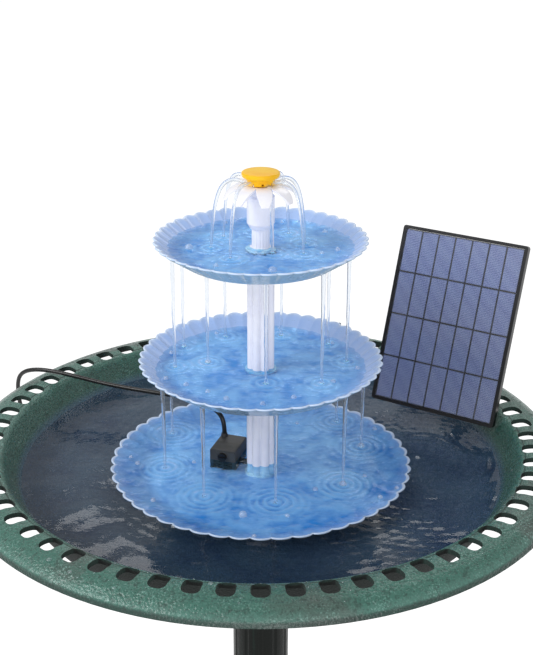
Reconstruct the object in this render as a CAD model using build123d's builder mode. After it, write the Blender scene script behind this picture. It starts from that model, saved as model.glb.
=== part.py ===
from build123d import *
import os
from math import cos, pi, radians, sin, tan

# Bird bath on a slender pedestal, with a three-tier solar fountain standing in its bowl.
# Millimetres, +Z up. The origin is on the ground, on the axis of the pedestal and the bowl.
# The front is -Y. Bearings round the axis count from the front towards +X.

# ---- driving dimensions ----
BRIM_Z = 700.0              # outer edge of the bowl above the ground
BASIN_R = 255.0             # outer radius of the bowl
BASIN_WALL = 4.0
BASIN_FLOOR = BRIM_Z - 38   # top of the bowl's floor
SLOT_COUNT = 60             # openings round the brim
SLOT_R = 227.7
SLOT_LENGTH = 17.0
SLOT_WIDTH = 14.0
SLOT_CORNER = 5.2

FOOT_R = 140.0
FOOT_FLANGE = 7.0
FOOT_TOP = 84.0
PEG_R = 124.0               # circle of the three ground-peg holes
PEG_HOLE_R = 3.5

COLUMN_R = 25.0
COLUMN_BORE = 22.1
COLUMN_STEP = 184.0         # one pedestal section with its joint
COUPLER_R = 22.0
COUPLER_WALL = 3.0
COUPLER_LENGTH = 44.0
FLUTE_COUNT = 12
FLUTE_R = 4.0
FLUTE_DEPTH = 0.8
JOINT_GAP = 0.2

TRAY_WALL = 2.0
LOWER_RIM = BRIM_Z - 12.2
LOWER_R = 129.3
LOWER_DEPTH = 23.8
LOWER_RUN = 31.0
MIDDLE_RIM = BRIM_Z + 84.1
MIDDLE_R = 102.2
UPPER_RIM = BRIM_Z + 187.5
UPPER_R = 87.4
TRAY_DEPTH = 17.0
TRAY_RUN = 26.5             # how far the sloped wall reaches in from the rim

REED_COUNT = 8
FOUNTAIN_BORE = 8.0         # inside radius of the white fountain columns
PIPE_R = 3.2
PIPE_BORE = 2.2
BELL_R = 4.4                # socket at the upper end of a water pipe
BELL_BORE = 3.27
SPIGOT_R = 7.6
LIFT_GAP = 0.3              # between parts that lift off each other

PUMP_TURN = 18.6            # how far the pump is turned round the fountain's axis
PUMP_OUT = -30.6            # the rotor's axis from the fountain's axis
ROTOR_Z = BRIM_Z - 21.5
PUMP_WIDTH = 22.8
PUMP_HEIGHT = 26.0
PUMP_RISE = 4.5             # middle of the pump's height above the rotor's axis
PUMP_REAR = 18.3
PUMP_SPLIT = 3.0            # where the strainer meets the housing
PUMP_FRONT = -11.7
VOLUTE_R = 6.8

PANEL_W = 119.0
PANEL_H = 162.0
PANEL_T = 6.0
PANEL_BORDER = 3.0
PANEL_YAW = 31.8
PANEL_LEAN = 19.8
CELL_COLUMNS = 7
CELL_ROWS = 4
CELL_GAP = 1.6
HINGE_UP = 81.0             # the tilt hinge above the panel's lower edge
HINGE_BACK = 16.0           # the tilt hinge behind the panel's face
CLAMP_BEARING = 123.0       # the leg's clamp takes the slots on each side of this bearing

CORD_R = 2.0


# ---- shared shapes ----
def bearing(angle, radius, height):
    """Point at a bearing counted from the front, towards +X."""
    return Vector(radius * sin(radians(angle)), -radius * cos(radians(angle)), height)


def save(part, name):
    part.label = name
    export_step(part, f"parts/{name}.step")


def ring(name, outer, inner, low, high):
    """Plain upright tube or washer."""
    with BuildPart() as tube:
        with BuildSketch(Plane.XY.offset(low)):
            Circle(outer)
            Circle(inner, mode=Mode.SUBTRACT)
        extrude(amount=high - low)
    save(tube.part, name)


# ---- pedestal ----
def base_foot():
    """Hollow bell with a flat flange, three peg holes and a neck for the first coupler."""
    with BuildPart() as foot:
        with BuildSketch(Plane.XZ):
            with BuildLine():
                Polyline((0, 52), (34, 52))
                Spline((34, 52), (46, 36), (78, 16), (110, 4))
                Polyline((110, 4), (112, 0), (FOOT_R, 0), (FOOT_R, 4), (FOOT_R - 3, FOOT_FLANGE),
                         (118, FOOT_FLANGE))
                Spline((118, FOOT_FLANGE), (82, 20), (48, 44), (33, FOOT_TOP - 6))
                Polyline((33, FOOT_TOP - 6), (31, FOOT_TOP), (COLUMN_BORE, FOOT_TOP),
                         (COLUMN_BORE, 58), (0, 58), (0, 52))
            make_face()
        revolve(axis=Axis.Z)
        with BuildSketch(Plane.XY):
            with PolarLocations(PEG_R, 3, start_angle=90):
                Circle(PEG_HOLE_R)
        extrude(amount=FOOT_FLANGE + 6, mode=Mode.SUBTRACT)
    save(foot.part, "base_foot")


def column_section(name, low):
    """Fluted tube of the pedestal."""
    length = COLUMN_STEP - JOINT_GAP
    with BuildPart() as section:
        with BuildSketch(Plane.XY.offset(low)):
            Circle(COLUMN_R)
            Circle(COLUMN_BORE, mode=Mode.SUBTRACT)
        extrude(amount=length)
        with BuildSketch(Plane.XY.offset(low + 8)):
            with PolarLocations(COLUMN_R + FLUTE_R - FLUTE_DEPTH, FLUTE_COUNT):
                Circle(FLUTE_R)
        extrude(amount=length - 16, mode=Mode.SUBTRACT)
    save(section.part, name)


def pedestal():
    base_foot()
    joints = [FOOT_TOP + step * COLUMN_STEP for step in range(4)]
    names = ["column_lower", "column_middle", "column_upper"]
    for name, low in zip(names, joints):
        column_section(name, low + JOINT_GAP)
    with BuildPart() as couplers:
        for joint in joints:
            with BuildSketch(Plane.XY.offset(joint - COUPLER_LENGTH / 2)):
                Circle(COUPLER_R)
                Circle(COUPLER_R - COUPLER_WALL, mode=Mode.SUBTRACT)
            extrude(amount=COUPLER_LENGTH - 2)
    save(couplers.part, "pedestal_couplers")


# ---- bowl ----
def basin():
    """Shallow bowl with a slotted, crowned brim and a socket for the pedestal underneath."""
    middle = BASIN_WALL / 2
    with BuildPart() as bowl:
        with BuildSketch(Plane.XZ):
            with BuildLine():
                FilletPolyline((0, BASIN_FLOOR - middle), (187.8, BASIN_FLOOR - middle),
                               (218.4, BRIM_Z + 6.6), (230, BRIM_Z + 8.5), (243, BRIM_Z + 5.6),
                               (251.3, BRIM_Z + 0.8), (BASIN_R - middle, BRIM_Z - 3.6),
                               radius=[30, 5, 20, 14, 3])
            trace(line_width=BASIN_WALL)
        revolve(axis=Axis.Z)
        with BuildSketch(Plane.XZ):
            with BuildLine():
                Polyline((COLUMN_BORE, BASIN_FLOOR - 25.8), (32, BASIN_FLOOR - 25.8),
                         (36, BASIN_FLOOR - 14), (64, BASIN_FLOOR - 3), (COLUMN_BORE, BASIN_FLOOR - 3),
                         close=True)
            make_face()
        revolve(axis=Axis.Z)
        with BuildSketch(Plane.XY.offset(BRIM_Z - 6)):
            with PolarLocations(SLOT_R, SLOT_COUNT, start_angle=-90):
                RectangleRounded(SLOT_LENGTH, SLOT_WIDTH, SLOT_CORNER)
        extrude(amount=24, mode=Mode.SUBTRACT)
    save(bowl.part, "basin")


# ---- fountain ----
def tray(name, rim, radius, depth, run, scallops, hole):
    """Dish with a sloped wall, a rolled lip and a scalloped edge."""
    floor = rim - depth - TRAY_WALL / 2
    notch = 3.0
    with BuildPart() as dish:
        with BuildSketch(Plane.XZ):
            with BuildLine():
                FilletPolyline((hole, floor), (radius - run, floor), (radius - 1.2, rim - 0.8), radius=20)
            trace(line_width=TRAY_WALL)
            with Locations((radius - 1.4, rim - 1.4)):
                Circle(1.4)
        revolve(axis=Axis.Z)
        with BuildSketch(Plane.XY.offset(rim - 5)):
            with PolarLocations(radius + notch - 1.4, scallops):
                Circle(notch)
        extrude(amount=6, mode=Mode.SUBTRACT)
    save(dish.part, name)


def reeded(radius, reed):
    """Round section made of convex reeds."""
    Circle(radius - 0.55 * reed)
    with PolarLocations(radius - reed, REED_COUNT, start_angle=22.5):
        Circle(reed)


def lower_column():
    """Reeded column on the lower tray, with a port for the pump's elbow."""
    low = LOWER_RIM - LOWER_DEPTH
    high = MIDDLE_RIM - TRAY_DEPTH - TRAY_WALL - LIFT_GAP
    with BuildPart() as column:
        with BuildSketch(Plane.XY.offset(low)):
            reeded(12.5, 3.8)
        extrude(amount=high - low)
        with BuildSketch(Plane.XY.offset(low)):
            Circle(13.6)
        extrude(amount=3)
        with BuildSketch(Plane.XY.offset(low)):
            Circle(FOUNTAIN_BORE)
        extrude(amount=high - low, mode=Mode.SUBTRACT)
        with BuildSketch(Plane(origin=(0, 0, ROTOR_Z), x_dir=PUMP_Y, z_dir=-PUMP_X)):
            Circle(4.6)
        extrude(amount=16, mode=Mode.SUBTRACT)
    save(column.part, "lower_column")


def middle_column():
    """Reeded column with a foot bead, and a spigot through the middle tray."""
    seat = MIDDLE_RIM - TRAY_DEPTH
    high = UPPER_RIM - TRAY_DEPTH - TRAY_WALL - LIFT_GAP
    with BuildPart() as column:
        with BuildSketch(Plane.XY.offset(seat + 1.2)):
            reeded(11.75, 3.6)
        extrude(amount=high - seat - 1.2)
        with BuildSketch(Plane.XY.offset(seat + 1.2)):
            Circle(13.2)
        extrude(amount=2.4)
        with BuildSketch(Plane.XY.offset(seat + 1.2)):
            Circle(FOUNTAIN_BORE)
        extrude(amount=high - seat, mode=Mode.SUBTRACT)
        with BuildSketch(Plane.XY.offset(seat - 12)):
            Circle(SPIGOT_R)
        extrude(amount=14)
        with BuildSketch(Plane.XY.offset(seat + 1.2)):
            Circle(FOUNTAIN_BORE + 1)
            Circle(PIPE_R, mode=Mode.SUBTRACT)
        extrude(amount=2)
        with BuildSketch(Plane.XY.offset(seat - 13)):
            Circle(PIPE_R + 0.05)
        extrude(amount=20, mode=Mode.SUBTRACT)
    save(column.part, "middle_column")


def riser():
    """Fluted riser on a stepped collar, with a spigot below and a stub for the nozzle above."""
    seat = UPPER_RIM - TRAY_DEPTH
    shoulder = BRIM_Z + 179
    crown = BRIM_Z + 195.5
    with BuildPart() as post:
        with BuildSketch(Plane.XZ):
            with BuildLine():
                Polyline((0, seat - 12), (SPIGOT_R, seat - 12), (SPIGOT_R, seat + 1.2),
                         (12.4, seat + 1.2), (12.4, seat + 3.4), (11, seat + 4.2),
                         (11, shoulder - 1.5), (9.2, shoulder), (7.3, shoulder), (7.3, crown),
                         (6, crown), (6, crown + 7.5), (0, crown + 7.5), close=True)
            make_face()
        revolve(axis=Axis.Z)
        with BuildSketch(Plane.XY.offset(shoulder)):
            with PolarLocations(7.9, 16):
                Circle(0.95)
        extrude(amount=crown - shoulder, mode=Mode.SUBTRACT)
        with BuildSketch(Plane.XY.offset(seat - 13)):
            Circle(PIPE_R + 0.05)
        extrude(amount=crown + 7 - (seat - 13), mode=Mode.SUBTRACT)
        with BuildSketch(Plane.XY.offset(crown + 5)):
            Circle(PIPE_BORE)
        extrude(amount=4, mode=Mode.SUBTRACT)
    save(post.part, "riser")


def water_pipe(name, low, high, bell):
    """Upright pipe, with a bell at its upper end where another pipe plugs in."""
    with BuildPart() as pipe:
        with BuildSketch(Plane.XY.offset(low)):
            Circle(PIPE_R)
        extrude(amount=high - low)
        if bell:
            with BuildSketch(Plane.XY.offset(high - 1.5)):
                Circle(BELL_R)
            extrude(amount=bell + 1.5)
            with BuildSketch(Plane.XY.offset(high)):
                Circle(BELL_BORE)
            extrude(amount=bell, mode=Mode.SUBTRACT)
        with BuildSketch(Plane.XY.offset(low)):
            Circle(PIPE_BORE)
        extrude(amount=high - low, mode=Mode.SUBTRACT)
    save(pipe.part, name)


def nozzle_sleeve():
    """White sleeve that plugs onto the riser's stub and carries the flower."""
    low = BRIM_Z + 195.8
    with BuildPart() as sleeve:
        with BuildSketch(Plane.XZ):
            with BuildLine():
                Polyline((6.07, low), (9.0, low), (11.15, low + 4), (11.15, low + 25.5),
                         (9.5, low + 27), (9.5, low + 33), (4, low + 33), (4, low + 8),
                         (6.07, low + 8), close=True)
            make_face()
        revolve(axis=Axis.Z)
        with BuildSketch(Plane.XY.offset(low + 3.6)):
            Circle(11.6)
            Circle(10.75, mode=Mode.SUBTRACT)
        extrude(amount=0.5, mode=Mode.SUBTRACT)
    save(sleeve.part, "nozzle_sleeve")


def flower_petals():
    """Eight drooping petals on one hub ring."""
    hub = BRIM_Z + 229.6
    with BuildPart() as petals:
        with BuildSketch(Plane.XZ):
            with BuildLine():
                Spline((8.2, hub), (12, hub + 0.6), (22, hub - 1.6), (29.3, hub - 9.8))
            trace(line_width=1.4)
        revolve(axis=Axis.Z)
        with BuildSketch(Plane.XY.offset(hub - 14)):
            Circle(12.4)
            with PolarLocations(19, 8, start_angle=-82):
                Ellipse(11.5, 6.2)
        extrude(amount=20, mode=Mode.INTERSECT)
    save(petals.part, "flower_petals")


def flower_disc():
    """Yellow centre on a neck: a collar closes the sleeve and eight ports let the water out."""
    low = BRIM_Z + 231.6
    with BuildPart() as disc:
        with BuildSketch(Plane.XZ):
            with BuildLine():
                Polyline((0, low + 10.3), (0, low - 2.7), (8, low - 2.7), (8, low), (10.6, low),
                         (11.2, low + 4.6), (14.6, low + 5.8), (15.15, low + 7), (15.15, low + 8.2))
                Spline((15.15, low + 8.2), (13.6, low + 9.6), (7, low + 10.15), (0, low + 10.3),
                       tangents=((0, 1), (-1, 0)))
            make_face()
        revolve(axis=Axis.Z)
        with BuildSketch(Plane.XY.offset(low - 3)):
            with PolarLocations(6, 8, start_angle=-82):
                Circle(1.0)
        extrude(amount=4.5, mode=Mode.SUBTRACT)
        with BuildSketch(Plane.XY.offset(low)):
            with PolarLocations(8.5, 8, start_angle=-82):
                Rectangle(7, 1.8)
        extrude(amount=2, mode=Mode.SUBTRACT)
    save(disc.part, "flower_disc")


def fountain():
    tray("lower_tray", LOWER_RIM, LOWER_R, LOWER_DEPTH, LOWER_RUN, 48, 3)
    tray("middle_tray", MIDDLE_RIM, MIDDLE_R, TRAY_DEPTH, TRAY_RUN, 45, SPIGOT_R + 0.1)
    tray("upper_tray", UPPER_RIM, UPPER_R, TRAY_DEPTH, TRAY_RUN, 42, SPIGOT_R + 0.1)
    lower_column()
    middle_column()
    riser()
    for name, rim in (("middle_seal", MIDDLE_RIM), ("upper_seal", UPPER_RIM)):
        seat = rim - TRAY_DEPTH
        ring(name, 12, SPIGOT_R + 0.1, seat, seat + 1.2)
    lower_bell = MIDDLE_RIM - TRAY_DEPTH - 22
    upper_bell = UPPER_RIM - TRAY_DEPTH - 22
    water_pipe("lower_pipe", ROTOR_Z + 8, lower_bell, 10)
    water_pipe("middle_pipe", lower_bell + 0.5, upper_bell, 10)
    water_pipe("upper_pipe", upper_bell + 0.5, BRIM_Z + 200, 0)
    nozzle_sleeve()
    flower_petals()
    flower_disc()


# ---- pump ----
PUMP_X = Vector(cos(radians(PUMP_TURN)), -sin(radians(PUMP_TURN)), 0)
PUMP_Y = Vector(sin(radians(PUMP_TURN)), cos(radians(PUMP_TURN)), 0)


def pump_plane(along):
    """Upright plane across the pump, facing its front, centred on the rotor's axis."""
    origin = PUMP_X * PUMP_OUT + PUMP_Y * along + Vector(0, 0, ROTOR_Z)
    return Plane(origin=origin, x_dir=PUMP_X, z_dir=-PUMP_Y)


def pump_spot(across, along, height):
    """Point of the pump, across and along from the rotor's axis."""
    return PUMP_X * (PUMP_OUT + across) + PUMP_Y * along + Vector(0, 0, height)


def pump_housing():
    """Motor case, open at the rear, with the rotor's well, the volute and the outlet spigot."""
    with BuildPart() as case:
        with BuildSketch(pump_plane(PUMP_REAR)):
            with Locations((0, PUMP_RISE)):
                RectangleRounded(PUMP_WIDTH, PUMP_HEIGHT, 1.2)
        extrude(amount=PUMP_REAR - PUMP_SPLIT)
        with BuildSketch(pump_plane(PUMP_REAR)):
            with Locations((0, PUMP_RISE)):
                Rectangle(PUMP_WIDTH - 3.6, PUMP_HEIGHT - 3.6)
        extrude(amount=PUMP_REAR - PUMP_SPLIT - 1.8, mode=Mode.SUBTRACT)
        with BuildSketch(pump_plane(15)):
            Circle(5.6)
        extrude(amount=12)
        with BuildSketch(pump_plane(PUMP_SPLIT)):
            Circle(VOLUTE_R)
        extrude(amount=5.6)
        with BuildSketch(Plane(origin=pump_spot(6, 0, ROTOR_Z), x_dir=PUMP_Y, z_dir=PUMP_X)):
            Circle(2.8)
        extrude(amount=9.6)
        with BuildSketch(pump_plane(PUMP_SPLIT - 5.6)):
            Circle(VOLUTE_R - 1.1)
        extrude(amount=-5.6, mode=Mode.SUBTRACT)
        with BuildSketch(pump_plane(PUMP_SPLIT - 1)):
            Circle(4.6)
        extrude(amount=-11.8, mode=Mode.SUBTRACT)
        with BuildSketch(pump_plane(PUMP_SPLIT)):
            Circle(0.77)
        extrude(amount=-11.6, mode=Mode.SUBTRACT)
        with BuildSketch(Plane(origin=pump_spot(5, 0, ROTOR_Z), x_dir=PUMP_Y, z_dir=PUMP_X)):
            Circle(1.9)
        extrude(amount=12, mode=Mode.SUBTRACT)
    save(case.part, "pump_housing")


def stator():
    """Laminated core that straddles the rotor's well, and the coil on its bridge."""
    with BuildPart() as core:
        with BuildSketch(pump_plane(13.5)):
            with Locations((-7.1, 3), (7.1, 3)):
                Rectangle(2.2, 17)
            with Locations((0, 10.2)):
                Rectangle(16.4, 2.6)
        extrude(amount=7)
    save(core.part, "stator_core")
    with BuildPart() as coil:
        with BuildSketch(Plane(origin=pump_spot(-4.8, 10, ROTOR_Z + 10.2), x_dir=PUMP_Y, z_dir=PUMP_X)):
            RectangleRounded(9.6, 6.4, 1.2)
            Rectangle(7.2, 2.8, mode=Mode.SUBTRACT)
        extrude(amount=9.6)
    save(coil.part, "motor_coil")
    with BuildPart() as cover:
        with BuildSketch(pump_plane(PUMP_REAR - 0.2)):
            with Locations((0, PUMP_RISE)):
                Rectangle(PUMP_WIDTH - 3.8, PUMP_HEIGHT - 3.8)
        extrude(amount=1.6)
    save(cover.part, "pump_rear_cover")


def rotor():
    """Magnet, impeller and the fixed shaft that they spin on."""
    with BuildPart() as magnet:
        with BuildSketch(pump_plane(12.4)):
            Circle(4.15)
            Circle(1.4, mode=Mode.SUBTRACT)
        extrude(amount=9.4)
    save(magnet.part, "rotor_magnet")
    with BuildPart() as wheel:
        with BuildSketch(pump_plane(12.4)):
            Circle(1.4)
        extrude(amount=14)
        with BuildSketch(pump_plane(2.8)):
            Circle(4)
        extrude(amount=1.2)
        with BuildSketch(pump_plane(1.6)):
            with PolarLocations(2.9, 6):
                Rectangle(4.4, 0.9)
        extrude(amount=3.2)
        with BuildSketch(pump_plane(12.4)):
            Circle(0.82)
        extrude(amount=14, mode=Mode.SUBTRACT)
    save(wheel.part, "impeller")
    with BuildPart() as shaft:
        with BuildSketch(pump_plane(14.4)):
            Circle(0.75)
        extrude(amount=18.3)
    save(shaft.part, "rotor_shaft")
    with BuildPart() as plate:
        with BuildSketch(pump_plane(PUMP_SPLIT - 5.7)):
            Circle(VOLUTE_R)
            Circle(0.77, mode=Mode.SUBTRACT)
            with PolarLocations(3.6, 6):
                Circle(1.1, mode=Mode.SUBTRACT)
        extrude(amount=1.4)
    save(plate.part, "volute_cover")


def strainer():
    """Slotted front cover that slides off forwards, its foam and the flow dial."""
    deep = PUMP_SPLIT - 0.2 - PUMP_FRONT
    with BuildPart() as cover:
        with BuildSketch(pump_plane(PUMP_SPLIT - 0.2)):
            with Locations((0, PUMP_RISE)):
                RectangleRounded(PUMP_WIDTH, PUMP_HEIGHT, 1.2)
        extrude(amount=deep)
        with BuildSketch(pump_plane(PUMP_SPLIT - 0.2)):
            with Locations((0, PUMP_RISE)):
                Rectangle(PUMP_WIDTH - 3, PUMP_HEIGHT - 3)
        extrude(amount=deep - 1.5, mode=Mode.SUBTRACT)
        with BuildSketch(pump_plane(PUMP_SPLIT)):
            with Locations((PUMP_WIDTH / 2, 0)):
                Rectangle(6, 10)
        extrude(amount=8, mode=Mode.SUBTRACT)
        with BuildSketch(pump_plane(PUMP_FRONT + 2)):
            with Locations((0, -0.5)):
                with GridLocations(9.4, 2.9, 2, 5):
                    SlotOverall(8, 1.3)
            with Locations((0, 11.5)):
                Circle(1.36)
        extrude(amount=3, mode=Mode.SUBTRACT)
    save(cover.part, "strainer_cover")
    with BuildPart() as foam:
        with BuildSketch(pump_plane(-5)):
            with Locations((0, PUMP_RISE)):
                RectangleRounded(PUMP_WIDTH - 3.8, PUMP_HEIGHT - 3.8, 1)
        extrude(amount=4.4)
    save(foam.part, "strainer_foam")
    with BuildPart() as dial:
        with BuildSketch(pump_plane(PUMP_FRONT - 0.1)):
            with Locations((0, 11.5)):
                Circle(3.8)
        extrude(amount=2)
        with BuildSketch(pump_plane(PUMP_FRONT - 2.1)):
            with Locations((0, 11.5)):
                Rectangle(6.4, 1.2)
        extrude(amount=1)
        with BuildSketch(pump_plane(PUMP_FRONT + 1.6)):
            with Locations((0, 11.5)):
                Circle(1.3)
        extrude(amount=2)
    save(dial.part, "flow_dial")


def suction_cups():
    """Four soft cups under the motor case."""
    with BuildPart() as cups:
        for across in (-7, 7):
            for along in (6.4, 14.6):
                with BuildSketch(Plane(origin=pump_spot(across, along, 0), x_dir=PUMP_X, z_dir=-PUMP_Y)):
                    with BuildLine():
                        Polyline((0, 670), (1.8, 670), (1.8, 667.4), (3.7, 664), (2.9, 664),
                                 (1.0, 666.4), (0, 666.4), close=True)
                    make_face()
                revolve(axis=Axis(pump_spot(across, along, 0), (0, 0, 1)))
    save(cups.part, "suction_cups")


def elbow():
    """Elbow from the pump's spigot, through the column's port, to the foot of the water pipe."""
    with BuildPart() as bend:
        with BuildSketch(Plane(origin=-PUMP_X * 18.6 + Vector(0, 0, ROTOR_Z), x_dir=PUMP_Y, z_dir=PUMP_X)):
            Circle(4.2)
        extrude(amount=18.6)
        with BuildSketch(Plane.XY.offset(ROTOR_Z - 4.2)):
            Circle(4.2)
        extrude(amount=16.2)
        with BuildSketch(Plane(origin=-PUMP_X * 18.6 + Vector(0, 0, ROTOR_Z), x_dir=PUMP_Y, z_dir=PUMP_X)):
            Circle(2.85)
        extrude(amount=5.2, mode=Mode.SUBTRACT)
        with BuildSketch(Plane(origin=-PUMP_X * 18.6 + Vector(0, 0, ROTOR_Z), x_dir=PUMP_Y, z_dir=PUMP_X)):
            Circle(2.2)
        extrude(amount=18.6, mode=Mode.SUBTRACT)
        with BuildSketch(Plane.XY.offset(ROTOR_Z)):
            Circle(2.2)
        extrude(amount=14, mode=Mode.SUBTRACT)
        with BuildSketch(Plane.XY.offset(ROTOR_Z + 7.8)):
            Circle(PIPE_R + 0.05)
        extrude(amount=6, mode=Mode.SUBTRACT)
    save(bend.part, "pump_elbow")


def pump_gland():
    """Tapered strain relief on the motor case."""
    top = ROTOR_Z + PUMP_RISE + PUMP_HEIGHT / 2
    with BuildPart() as gland:
        with BuildSketch(Plane(origin=pump_spot(-7.9, 15, top), x_dir=PUMP_X)):
            Circle(3.1)
        with BuildSketch(Plane(origin=pump_spot(-7.9, 15, top + 3), x_dir=PUMP_X)):
            Circle(2.5)
        loft()
    save(gland.part, "pump_gland")


def pump():
    pump_housing()
    stator()
    rotor()
    strainer()
    suction_cups()
    elbow()
    pump_gland()


# ---- solar panel ----
ACROSS = Vector(cos(radians(PANEL_YAW)), -sin(radians(PANEL_YAW)), 0)
BEHIND = Vector(sin(radians(PANEL_YAW)), cos(radians(PANEL_YAW)), 0)
UPWARD = BEHIND * sin(radians(PANEL_LEAN)) + Vector(0, 0, cos(radians(PANEL_LEAN)))
FACING = -BEHIND * cos(radians(PANEL_LEAN)) + Vector(0, 0, sin(radians(PANEL_LEAN)))
PANEL_ORIGIN = Vector(152.6, 63.7, BRIM_Z)      # middle of the lower edge, on the face


def panel_spot(across, up, out):
    """Point of the panel: across, up from its lower edge, and out of its face."""
    return PANEL_ORIGIN + ACROSS * across + UPWARD * up + FACING * out


def panel_plane(up, out, across=0):
    """Plane parallel to the panel's face."""
    return Plane(origin=panel_spot(across, up, out), x_dir=ACROSS, z_dir=FACING)


def side_plane(across, up, out):
    """Plane square to the tilt hinge."""
    return Plane(origin=panel_spot(across, up, out), x_dir=UPWARD, z_dir=ACROSS)


def panel_sheets():
    """Frame, cells, clear cover and back sheet."""
    inner_w = PANEL_W - 2 * PANEL_BORDER
    inner_h = PANEL_H - 2 * PANEL_BORDER
    with BuildPart() as frame:
        with BuildSketch(panel_plane(PANEL_H / 2, -PANEL_T)):
            RectangleRounded(PANEL_W, PANEL_H, 2.5)
            Rectangle(inner_w, inner_h, mode=Mode.SUBTRACT)
        extrude(amount=PANEL_T)
    save(frame.part, "panel_frame")
    with BuildPart() as cells:
        with BuildSketch(panel_plane(PANEL_H / 2, -1.7)):
            with GridLocations(inner_w / CELL_COLUMNS, inner_h / CELL_ROWS, CELL_COLUMNS, CELL_ROWS):
                Rectangle(inner_w / CELL_COLUMNS - CELL_GAP, inner_h / CELL_ROWS - CELL_GAP)
        extrude(amount=0.5)
    save(cells.part, "solar_cells")
    for name, low, thick in (("panel_cover", -1.1, 1.0), ("panel_back", -5.6, 3.8)):
        with BuildPart() as sheet:
            with BuildSketch(panel_plane(PANEL_H / 2, low)):
                Rectangle(inner_w - 0.3, inner_h - 0.3)
            extrude(amount=thick)
            if name == "panel_back":
                with BuildSketch(panel_plane(HINGE_UP, low)):
                    with GridLocations(34, 16, 2, 2):
                        Circle(1.3)
                extrude(amount=3, mode=Mode.SUBTRACT)
        save(sheet.part, name)


def junction_box():
    """Box on the back of the panel, with a board inside, a lid and a cord gland."""
    low = -PANEL_T + 0.2
    up = 38
    with BuildPart() as box:
        with BuildSketch(panel_plane(up, low)):
            RectangleRounded(34, 24, 2)
        extrude(amount=-9)
        with BuildSketch(panel_plane(up, low - 9)):
            Rectangle(31, 21)
        extrude(amount=7.6, mode=Mode.SUBTRACT)
    save(box.part, "junction_box")
    with BuildPart() as board:
        with BuildSketch(panel_plane(up, low - 3.5)):
            Rectangle(29, 18)
        extrude(amount=-1.6)
    save(board.part, "junction_board")
    with BuildPart() as lid:
        with BuildSketch(panel_plane(up, low - 9.1)):
            RectangleRounded(34, 24, 2)
        extrude(amount=-1.4)
    save(lid.part, "junction_lid")
    with BuildPart() as gland:
        with BuildSketch(side_plane(-17, up, low - 5)):
            Circle(3.2)
        with BuildSketch(side_plane(-25, up, low - 5)):
            Circle(2.3)
        loft()
    save(gland.part, "panel_gland")


def tilt_bracket():
    """Plate with two ears, its four screws, and the pivot bolt through them."""
    plate = -PANEL_T + 0.2
    with BuildPart() as bracket:
        with BuildSketch(panel_plane(HINGE_UP, plate)):
            RectangleRounded(42, 24, 3)
            with GridLocations(34, 16, 2, 2):
                Circle(1.6, mode=Mode.SUBTRACT)
        extrude(amount=-2)
        for across in (-11, 8.4):
            with BuildSketch(side_plane(across, HINGE_UP, -HINGE_BACK)):
                Circle(5.5)
                with Locations((0, 4.5)):
                    Rectangle(11, 9)
            extrude(amount=2.6)
        with BuildSketch(side_plane(-12, HINGE_UP, -HINGE_BACK)):
            Circle(2.56)
        extrude(amount=24, mode=Mode.SUBTRACT)
    save(bracket.part, "tilt_bracket")
    with BuildPart() as screws:
        with BuildSketch(panel_plane(HINGE_UP, plate - 2)):
            with GridLocations(34, 16, 2, 2):
                Circle(2.6)
        extrude(amount=-1.4)
        with BuildSketch(panel_plane(HINGE_UP, plate - 2)):
            with GridLocations(34, 16, 2, 2):
                Circle(1.25)
        extrude(amount=4.6)
    save(screws.part, "bracket_screws")
    with BuildPart() as bolt:
        with BuildSketch(side_plane(-14.4, HINGE_UP, -HINGE_BACK)):
            Circle(4.4)
        extrude(amount=3)
        with BuildSketch(side_plane(-14.4, HINGE_UP, -HINGE_BACK)):
            Circle(2.5)
        extrude(amount=34)
    save(bolt.part, "tilt_bolt")
    with BuildPart() as knob:
        with BuildSketch(side_plane(11.4, HINGE_UP, -HINGE_BACK)):
            Circle(5.4)
            with PolarLocations(5.1, 5):
                Circle(2)
            Circle(2.56, mode=Mode.SUBTRACT)
        extrude(amount=7)
    save(knob.part, "tilt_knob")


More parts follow.
